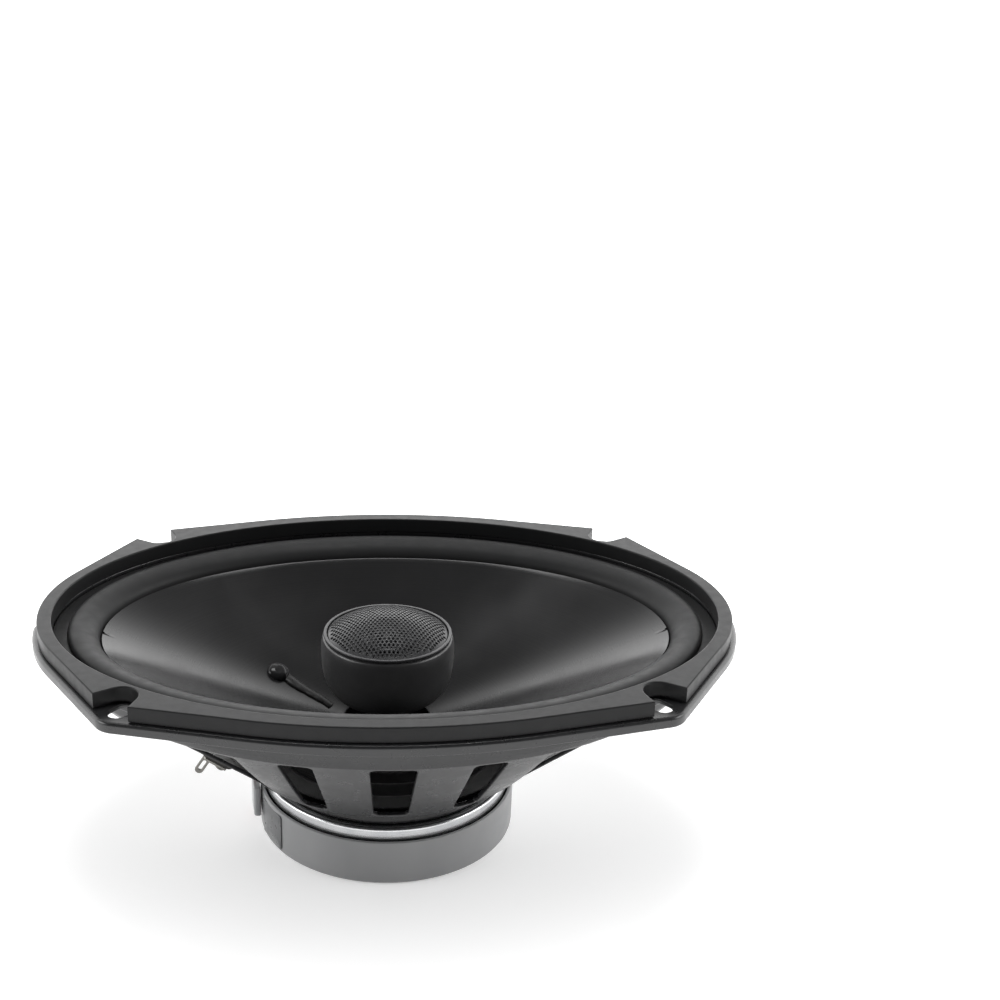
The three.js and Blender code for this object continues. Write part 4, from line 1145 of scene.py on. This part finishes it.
spider = make_object("spider_fine", spider_shape(), 70)
finish_piece(spider, CLOTH, "spider", ride=False)
bend_with_cone(spider, (SPIDER_LAND, SPIDER_LAND), (SPIDER_INNER + 1.5, SPIDER_INNER + 1.5))


def lead_bead(side):
    """A drop of cement over the joint between the braid and the coil's lead."""
    r, h = BEAD_RADIUS, BEAD_HEIGHT
    rows = [(0, 0, 0), (r, 0, 0.4), (r * 0.9, h * 0.62, 1.1), (r * 0.5, h, 1.2), (0, h, 0)]
    soft = rounded([(a, a, z, edge) for a, z, edge in rows], False, 6)

    def swell(x, y, z):
        wide = 1 + 0.1 * noise.noise(Vector((x * 0.3, y * 0.3 + side * 7, z * 0.3)))
        lift = 1 + 0.09 * noise.noise(Vector((x * 0.4, y * 0.4, side * 3)))
        return (x * wide, y * wide, z * lift)
    shape = lathe(soft, even_angles(SMALL_STEPS), False).mapped(swell)
    normal = cone_normal(BEAD_X, side * BEAD_Y)
    at = Vector((BEAD_X, side * BEAD_Y, cone_height(BEAD_X, BEAD_Y))) + normal * 0.05
    turn = Vector((0, 0, 1)).rotation_difference(normal).to_matrix().to_4x4()
    return shape.moved(Matrix.Translation(at) @ turn)


def coil_lead(side):
    """The coil's lead under its stripe of cement, from the bead to the neck of the cone."""
    route = [(-40.2, 15.6), (-37.4, 15), (-34.4, 13.4), (-31, 11.6), (-27, 10), (-23, 8.6), (-19.4, 6.6)]
    points = []
    lift = 0.25
    for p in curve_points([(x, side * y, 0) for x, y in route], 90):
        points.append(Vector((p.x, p.y, cone_height(p.x, p.y))) + cone_normal(p.x, p.y) * lift)

    def stripe_size(share):
        taper = 1.25 - 0.4 * share
        return taper + 0.05 * math.sin(17 * share + side) + 0.03 * math.sin(41 * share)
    return tube(points, 2.0, 0.62, 16, up=lambda p: cone_normal(p.x, p.y), size=stripe_size)


for label, side in SIDES:
    make_piece(f"lead_bead_{label}", lead_bead(side), POLYMER, "cone_assembly", sharp=80)
    make_piece(f"coil_lead_{label}", coil_lead(side), GLUE, "cone_assembly", sharp=80)

former = ring(inner=14.75, outer=15.35, bottom=11.6, top=38.6, edge=0.1)
make_piece("voice_coil_former", former, FORMER, "cone_assembly")
winding = ring(inner=15.5, outer=16.2, bottom=12.6, top=23.4, edge=0.3)
make_piece("voice_coil_winding", winding, COPPER, "cone_assembly")


# ---- motor
def turned_piece(node, profile, material, steps=ROUND_STEPS, closed=True):
    make_piece(node, turned(profile, steps, closed), material)


turned_piece("top_plate", [
    (16.9, 15.5, 0.3), (42.5, 15.5, 0.3), (42.7, 16.1, 0.3), (42.95, 18.6, 0.8), (42.95, 20.5, 1.8),
    (16.9, 20.5, 0.4),
], ZINC)
turned_piece("ferrite_magnet", [(22, 7.4, 0.6), (41.5, 7.4, 0.8), (41.5, 15.2, 0.8), (22, 15.2, 0.6)],
             FERRITE)
turned_piece("yoke", [
    (9.2, 2.9, 0.5), (41, 2.9, 0.8), (41, 7.1, 0.6), (13.9, 7.1, 0.8), (13.9, 20.9, 1.2),
    (5.2, 20.9, 0.4), (5.2, 9.4, 0.3), (9.2, 9.4, 0.3),
], ZINC)
turned_piece("magnet_boot", [
    (24, 0.3, 0.3), (25.2, 0, 0.3), (26.4, 0.3, 0.2), (38.2, 0.3, 0.2), (38.8, 0, 0.2), (44.4, 0, 1.5),
    (44.4, 16, 0.6), (43.2, 16, 0.5), (43.2, 1.2, 0.5), (24, 1.2, 0.3),
], BOOT)


def drum_patch(radius, thickness, start, stop, bottom, top):
    """A thin plate bent round the magnet boot, with round corners."""
    middle = (start + stop) / 2
    half = (stop - start) / 2 * radius
    outline = round_box(half, (top - bottom) / 2, 0.8, 0.3)
    seeds = [(half * (i / 12 - 1) * 0.98, h) for i in range(25) for h in (-3, 0, 3)]
    steps = [(0.12, thickness), (0.0, thickness - 0.1), (0.0, 0.0)]

    def bend(x, y, lift):
        angle = middle + x / radius
        r = radius + lift
        return (r * math.cos(angle), r * math.sin(angle), (bottom + top) / 2 + y)
    loops = [offset_loop(outline, inset) for inset, _ in steps]
    shape = Shape().band([[bend(x, y, lift) for x, y in loop] for loop, (_, lift) in zip(loops, steps)])
    for loop, lift in ((loops[0], thickness), (loops[-1], 0.0)):
        flat, triangles = fill([loop], seeds)
        shape.add([bend(x, y, lift) for x, y in flat], triangles)
    return shape


label_patch = drum_patch(radius=44.55, thickness=0.3, start=math.radians(197), stop=math.radians(215.5),
                         bottom=1.6, top=14.6)
make_piece("boot_label", label_patch, LABEL, sharp=50)

RIVET_SEAT = 22.5
for index in range(4):
    angle = math.radians(45 + 90 * index)
    rivet = turned([
        (0, 16.6, 0), (1.9, 16.6, 0.2), (1.9, RIVET_SEAT, 0), (3.6, RIVET_SEAT, 0.2),
        (3.2, RIVET_SEAT + 1.1, 0.5), (1.6, RIVET_SEAT + 1.3, 0.3), (0, RIVET_SEAT + 1.0, 0),
    ], RIVET_STEPS, False)
    spot = Matrix.Translation((RIVET_CIRCLE * math.cos(angle), RIVET_CIRCLE * math.sin(angle), 0))
    make_piece(f"plate_rivet_{index + 1}", rivet.moved(spot), STEEL)


# ---- terminals
def terminal_matrix():
    """The board's own frame: +z is the end wall's outward normal and +x points up its slope."""
    run = WALL_TOP[0] - WALL_BOTTOM[0]
    rise = WALL_TOP[2] - WALL_BOTTOM[2] + 0.5
    share = (-TERMINAL_X - WALL_BOTTOM[0]) / run
    turn = math.pi + math.atan2(rise, run)
    at = (TERMINAL_X, 0, WALL_BOTTOM[2] - 0.5 + rise * share)
    return Matrix.Translation(at) @ Matrix.Rotation(turn, 4, "Y")


TERMINALS = terminal_matrix()


def tab_shape(width):
    """A blade with a long hole, bent up from a foot that is riveted to the board."""
    seat, foot, foot_width, thickness, height = BOARD_TOP + GAP, 8.4, 4.4, 0.8, 8.4
    half = width / 2
    slot = half * 0.42
    top = seat + height
    sole = plate(round_box(foot / 2, foot_width / 2, 0.6, 0.2), [],
                 edge_steps(seat, seat + thickness, 0.12, 2))
    outline = straight((-half, seat), (half, seat), 3) + [(half, seat)]
    outline += arc(0, top - half, half, 0, math.pi, 0.2)
    hole = arc(0, top - half - slot, slot, 0, math.pi, 0.12)
    hole += arc(0, seat + 3.4, slot, math.pi, 2 * math.pi, 0.12)
    blade = plate(outline, [hole], edge_steps(0, thickness, 0.14, 2), edge_steps(0, thickness, 0.1, 2))
    stand = Matrix.Translation((foot / 2 - half, foot_width / 2, 0)) @ Matrix.Rotation(math.pi / 2, 4, "X")
    return sole, blade.moved(stand)


def eyelet(seat, shank, head, low):
    """A rivet from its low end to a dished head on the seat."""
    return turned([
        (0, low, 0), (shank, low, 0.2), (shank, seat, 0), (head, seat, 0.15), (head - 0.2, seat + 0.65, 0.35),
        (head - 0.9, seat + 0.75, 0.3), (shank * 0.5, seat + 0.2, 0.2), (0, seat + 0.2, 0),
    ], RIVET_STEPS, False)


board = plate(round_box(6, 17, 2.5, 0.4), [], edge_steps(BOARD_LOW, BOARD_TOP, 0.3))
make_piece("terminal_board", board.moved(TERMINALS), BOARD)
make_piece("board_rivet", eyelet(BOARD_TOP + GAP, 1.5, 2.8, -2.4).moved(TERMINALS), STEEL)
for label, side, width in (("negative", -1, 3), ("positive", 1, 4.8)):
    beside = TERMINALS @ Matrix.Translation((0, side * TAB_Y, 0))
    sole, blade = tab_shape(width)
    tab = make_object(f"{label}_tab_fine", sole.moved(beside))
    fuse(tab, make_object("blade", blade.moved(beside)))
    finish_piece(tab, TIN, f"{label}_tab")
    at_rivet = beside @ Matrix.Translation((TAB_RIVET_X, 0, 0))
    rivet = eyelet(BOARD_TOP + 1.4, 1.1, 1.9, TAB_RIVET_LOW)
    make_piece(f"{label}_tab_rivet", rivet.moved(at_rivet), TIN)


def tinsel_lead(side):
    """Woven copper braid, from the terminal's rivet to the back of the cone."""
    start = TERMINALS @ Vector((TAB_RIVET_X, 0, TAB_RIVET_LOW - GAP - 0.9))
    end = cone_height(BEAD_X, BEAD_Y) - 2.7
    path = curve_points([
        (start.x, side * TAB_Y, start.z), (-50.4, side * 15.2, start.z - 0.2),
        (-46.2, side * 15.9, start.z + 0.6), (-42, side * 15.8, start.z + 3),
        (BEAD_X - 0.6, side * 15.2, end - 3), (BEAD_X, side * BEAD_Y, end),
    ], 150)
    shape = tube(path, 0.62, sides=10)
    strands, twist = 6, 0.42
    for way in (1, -1):
        for k in range(strands):
            line = []
            for i, (point, across, top) in enumerate(path_frames(path)):
                angle = way * i * twist + 2 * math.pi * k / strands
                lift = 0.7 + 0.08 * math.cos(angle * strands)
                line.append(point + across * (lift * math.cos(angle)) + top * (lift * math.sin(angle)))
            shape.join(tube(line, 0.17, 0.12, sides=5))
    return shape


for label, side in SIDES:
    braid = make_object(f"tinsel_lead_{label}_fine", tinsel_lead(side), 80)
    finish_piece(braid, TINSEL, f"tinsel_lead_{label}", ride=False)
    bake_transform(braid)


# ---- tweeter
turned_piece("tweeter_housing", [
    (21, 70.4, 0.25), (22.1, 70.1, 0.7), (22.7, 67.6, 2.2), (22.5, 60, 5), (21.5, 54.5, 4.5), (19.2, 50.2, 4),
    (15.6, 47.4, 3.5), (11.5, 46.6, 2), (8, 46.5, 0.3), (8, 46, 0.2), (5.2, 46, 0.3), (5.2, 51.6, 0.2),
    (9, 51.6, 0.3), (9, 48.4, 0.3), (12.4, 48.4, 1), (16, 49.7, 2), (18.4, 51.9, 2), (20, 55.4, 2),
    (20.9, 60, 2), (21.1, 67.8, 0.5), (21, 69, 0.2),
], POD)
turned_piece("tweeter_bezel", [(20.7, 70.7, 0.2), (21.8, 70.7, 0.3), (21.8, 71.5, 0.4), (20.7, 71.5, 0.25)],
             GRILLE)


def dome_height(r, drop=0.0):
    height = GRILLE_TOP - GRILLE_BOTTOM
    sphere = (GRILLE_RADIUS ** 2 + height ** 2) / (2 * height) - drop
    base = GRILLE_TOP - drop - sphere
    return base + math.sqrt(max(0, sphere ** 2 - r * r))


def grille_shape():
    """A domed steel sheet with round holes in a triangular pattern."""
    thickness = 0.45
    row_gap = GRILLE_PITCH * math.sqrt(3) / 2
    reach = GRILLE_RADIUS - 0.85
    rows = int(reach / row_gap) + 1
    holes = []
    for j in range(-rows, rows + 1):
        for i in range(-rows - 6, rows + 7):
            at = ((i + 0.5 * (j % 2)) * GRILLE_PITCH, j * row_gap)
            if math.hypot(*at) < reach:
                holes.append(at)
    sides, edge = 10, 0.07
    outline = circle(0, 0, GRILLE_RADIUS, 120)
    levels = [(edge, 0.0), (0.0, edge), (0.0, thickness - edge), (edge, thickness)]

    def raised(points, drop):
        return [(x, y, dome_height(math.hypot(x, y), drop)) for x, y in points]
    shape = Shape()
    for x, y in holes:
        shape.band([raised(circle(x, y, GRILLE_HOLE + inset, sides), drop) for inset, drop in levels])
    loops = [circle(x, y, GRILLE_HOLE + edge, sides) for x, y in holes]
    flat, triangles = fill([outline, *loops])
    for drop in (0.0, thickness):
        shape.add(raised(flat, drop), triangles)
    return shape.band([raised(outline, drop) for drop in (0.0, thickness)])


make_piece("tweeter_grille", grille_shape(), GRILLE, sharp=45)

turned_piece("tweeter_faceplate", [
    (8.2, 66.3, 0.2), (20.4, 66.3, 0.3), (20.4, 70.1, 0.3), (19.4, 70.1, 0.5), (17.4, 68.4, 1.2),
    (8.2, 68.1, 0.3),
], POD)
turned_piece("tweeter_yoke", [
    (0, 57, 0), (9.4, 57, 0.4), (9.4, 66, 0.3), (7.6, 66, 0.2), (7.6, 58.5, 0.2), (0, 58.5, 0),
], STEEL, SMALL_STEPS, False)
make_piece("tweeter_magnet", disc(radius=6, bottom=58.8, top=63, edge=0.3, steps=SMALL_STEPS), NICKEL)
make_piece("tweeter_top_plate", disc(radius=6.1, bottom=63.3, top=65, edge=0.2, steps=SMALL_STEPS), STEEL)
small_winding = ring(inner=6.45, outer=7, bottom=62.6, top=68, edge=0.1, steps=SMALL_STEPS)
make_piece("tweeter_coil", small_winding, COPPER, "tweeter_diaphragm")


def tweeter_dome_shape():
    z, radius, height, outer, thickness = 68.8, 6.4, 3.2, 9.6, 0.3
    sphere = (radius ** 2 + height ** 2) / (2 * height)
    half = math.asin(radius / sphere)
    front = []
    for i in range(17):
        angle = half * i / 16
        front.append((sphere * math.sin(angle), z + height - sphere + sphere * math.cos(angle)))
    for i in range(1, 13):
        share = i / 12
        front.append((radius + (outer - radius) * share, z + 0.7 * math.sin(math.pi * share)))
    back = [(r, h - thickness) for r, h in reversed(front)]
    return lathe([(r, r, h) for r, h in front + back], even_angles(SMALL_STEPS), False)


make_piece("tweeter_dome", tweeter_dome_shape(), DOME, "tweeter_diaphragm", sharp=70)

turned_piece("tweeter_post", [
    (2.2, 3.6, 0.3), (4.9, 3.6, 0.6), (4.9, 21.2, 0.2), (7, 21.2, 0.5), (7, 45.7, 0.5), (4.9, 45.7, 0.2),
    (4.9, 55.4, 0.6), (2.2, 55.4, 0.3),
], POST, POST_STEPS)
make_piece("post_washer", ring(inner=5.2, outer=8.6, bottom=8.1, top=9.1, edge=0.25, steps=POST_STEPS), STEEL)


def hex_nut(across, bottom, top, bore):
    radius = across / math.sqrt(3)
    corners = [(radius * math.cos(math.pi * i / 3), radius * math.sin(math.pi * i / 3)) for i in range(6)]
    outline = []
    for p, q in zip(corners, corners[1:] + corners[:1]):
        stop = between(p, q, 0.96)
        outline += straight(between(p, q, 0.04), stop, 5) + [stop]
    rim, bore_rim = [edge_steps(bottom, top, edge, 3) for edge in (0.35, 0.3)]
    return plate(outline, [circle(0, 0, bore)], rim, bore_rim)


make_piece("post_nut", hex_nut(across=12, bottom=4, top=7.8, bore=5.2), STEEL)
make_piece("pod_nut", hex_nut(across=12, bottom=51.9, top=54.9, bore=5.2), STEEL)


# ---- crossover and its wires
def polar(radius, degrees, z):
    angle = math.radians(degrees)
    return (radius * math.cos(angle), radius * math.sin(angle), z)


def over_board(x, y, lift):
    return tuple(TERMINALS @ Vector((x, y, BOARD_TOP + lift)))


def capacitor_shape():
    """A flat film block that stands against the motor, with round corners."""
    inner, outer, half, bottom, top, corner, small = 44.8, 47.2, 5.5, 5.6, 17.0, 1.1, 0.6
    quarter = math.pi / 2
    outline = arc(outer - corner, corner - half, corner, -quarter, 0, 0.2)
    outline += arc(outer - corner, half - corner, corner, 0, quarter, 0.2)
    outline += arc(inner + small, half - small, small, quarter, 2 * quarter, 0.2)
    outline += arc(inner + small, small - half, small, 2 * quarter, 3 * quarter, 0.2)
    turn = Matrix.Rotation(CAPACITOR_ANGLE, 4, "Z")
    return plate(outline, [], edge_steps(bottom, top, 0.5)).moved(turn)


def wire(points, steps=120):
    return tube(curve_points(points, steps), WIRE_RADIUS, sides=10)


def tweeter_wire(side, start):
    """Each wire lies under the motor and climbs the post's bore to the tweeter."""
    spread, low = 1.1, 2.15

    def along(r, z):
        c, s = math.cos(WIRE_ANGLE), math.sin(WIRE_ANGLE)
        return (r * c - side * spread * s, r * s + side * spread * c, z)
    under = [along(r, low) for r in (45.7, 45.2, 43, 36, 26, 14, 5)]
    climb = [along(0, z) for z in (6, 16, 30, 44, 56.2)]
    return wire([*start, *under, along(1.5, low + 0.2), along(0.4, 3.6), *climb], steps=240)


capacitor_route = [
    polar(46, 186, 17.3), polar(46.6, 184, 19.6), polar(49.8, 181, 21.2), polar(50.9, 176.6, 22.6),
    over_board(-9.3, 6, -0.4), over_board(-7.4, 8, 1.3), over_board(-3, 10.6, 1), over_board(0, 11.4, 0.9),
]
from_capacitor = [polar(46.2, turn, z) for turn, z in ((185.5, 5.3), (183, 3.8), (179.5, 2.7), (177, 2.15))]
from_tab = [
    over_board(0, -11.4, 0.9), over_board(-3, -8, 0.9), over_board(-7, -4.6, 1.5),
    over_board(-9.8, -2.4, -0.4), polar(47.6, 179.5, 22.4), polar(46.9, 175.5, 17), polar(46, 172.8, 9),
    polar(46, 172.6, 3.8),
]
make_piece("crossover_capacitor", capacitor_shape(), CAPACITOR)
make_piece("capacitor_lead", wire(capacitor_route), RED, sharp=80)
make_piece("tweeter_wire_positive", tweeter_wire(1, from_capacitor), RED, sharp=80)
make_piece("tweeter_wire_negative", tweeter_wire(-1, from_tab), BLACK, sharp=80)


# ---- floor and light
def make_floor():
    size = 12.0
    mesh = bpy.data.meshes.new("floor")
    corners = [(size * sx, size * sy, 0) for sx, sy in ((-1, -1), (1, -1), (1, 1), (-1, 1))]
    mesh.from_pydata(corners, [], [(0, 1, 2, 3)])
    floor = bpy.data.objects.new("floor", mesh)
    floor.location.z = CAD_BOX[0].z - 0.0002
    mesh.materials.append(glowing_floor_paper())
    bpy.context.scene.collection.objects.link(floor)


def soft_box(name, at, aim, width, height, power):
    data = bpy.data.lights.new(name, "AREA")
    data.shape = "RECTANGLE"
    data.size, data.size_y = width, height
    data.energy = power
    lamp = bpy.data.objects.new(name, data)
    lamp.location = at
    lamp.rotation_mode = "QUATERNION"
    lamp.rotation_quaternion = (Vector(aim) - Vector(at)).to_track_quat("-Z", "Y")
    lamp.visible_camera = False
    bpy.context.scene.collection.objects.link(lamp)


def make_world():
    """White low down behind the object, falling to grey overhead and on the camera's side."""
    world = bpy.data.worlds.new("studio")
    world.use_nodes = True
    nodes, links = world.node_tree.nodes, world.node_tree.links
    background = nodes["Background"]
    place = nodes.new("ShaderNodeTexCoord")
    parts = nodes.new("ShaderNodeSeparateXYZ")
    links.new(place.outputs["Generated"], parts.inputs[0])

    def fade(axis, start, stop, low, high):
        span = nodes.new("ShaderNodeMapRange")
        span.interpolation_type = "SMOOTHSTEP"
        for name, value in (("From Min", start), ("From Max", stop), ("To Min", low), ("To Max", high)):
            span.inputs[name].default_value = value
        links.new(parts.outputs[axis], span.inputs["Value"])
        return span.outputs["Result"]
    both = nodes.new("ShaderNodeMath")
    both.operation = "MULTIPLY"
    links.new(fade("Y", -0.3, 0.7, 0.12, 3.2), both.inputs[0])
    links.new(fade("Z", 0.35, 0.8, 1.0, 0.12), both.inputs[1])
    links.new(both.outputs[0], background.inputs["Strength"])
    background.inputs["Color"].default_value = (1, 1, 1, 1)
    bpy.context.scene.world = world


make_floor()
make_world()
soft_box("left_box", (-1.5, -0.25, 0.85), (0, 0, 0.05), 0.9, 0.7, 14)
soft_box("right_box", (1.5, -0.25, 0.85), (0, 0, 0.05), 0.9, 0.7, 14)
soft_box("top_box", (0, 0.5, 2.2), (0, 0, 0), 1.2, 0.6, 18)

bpy.context.scene.view_settings.view_transform = "Standard"
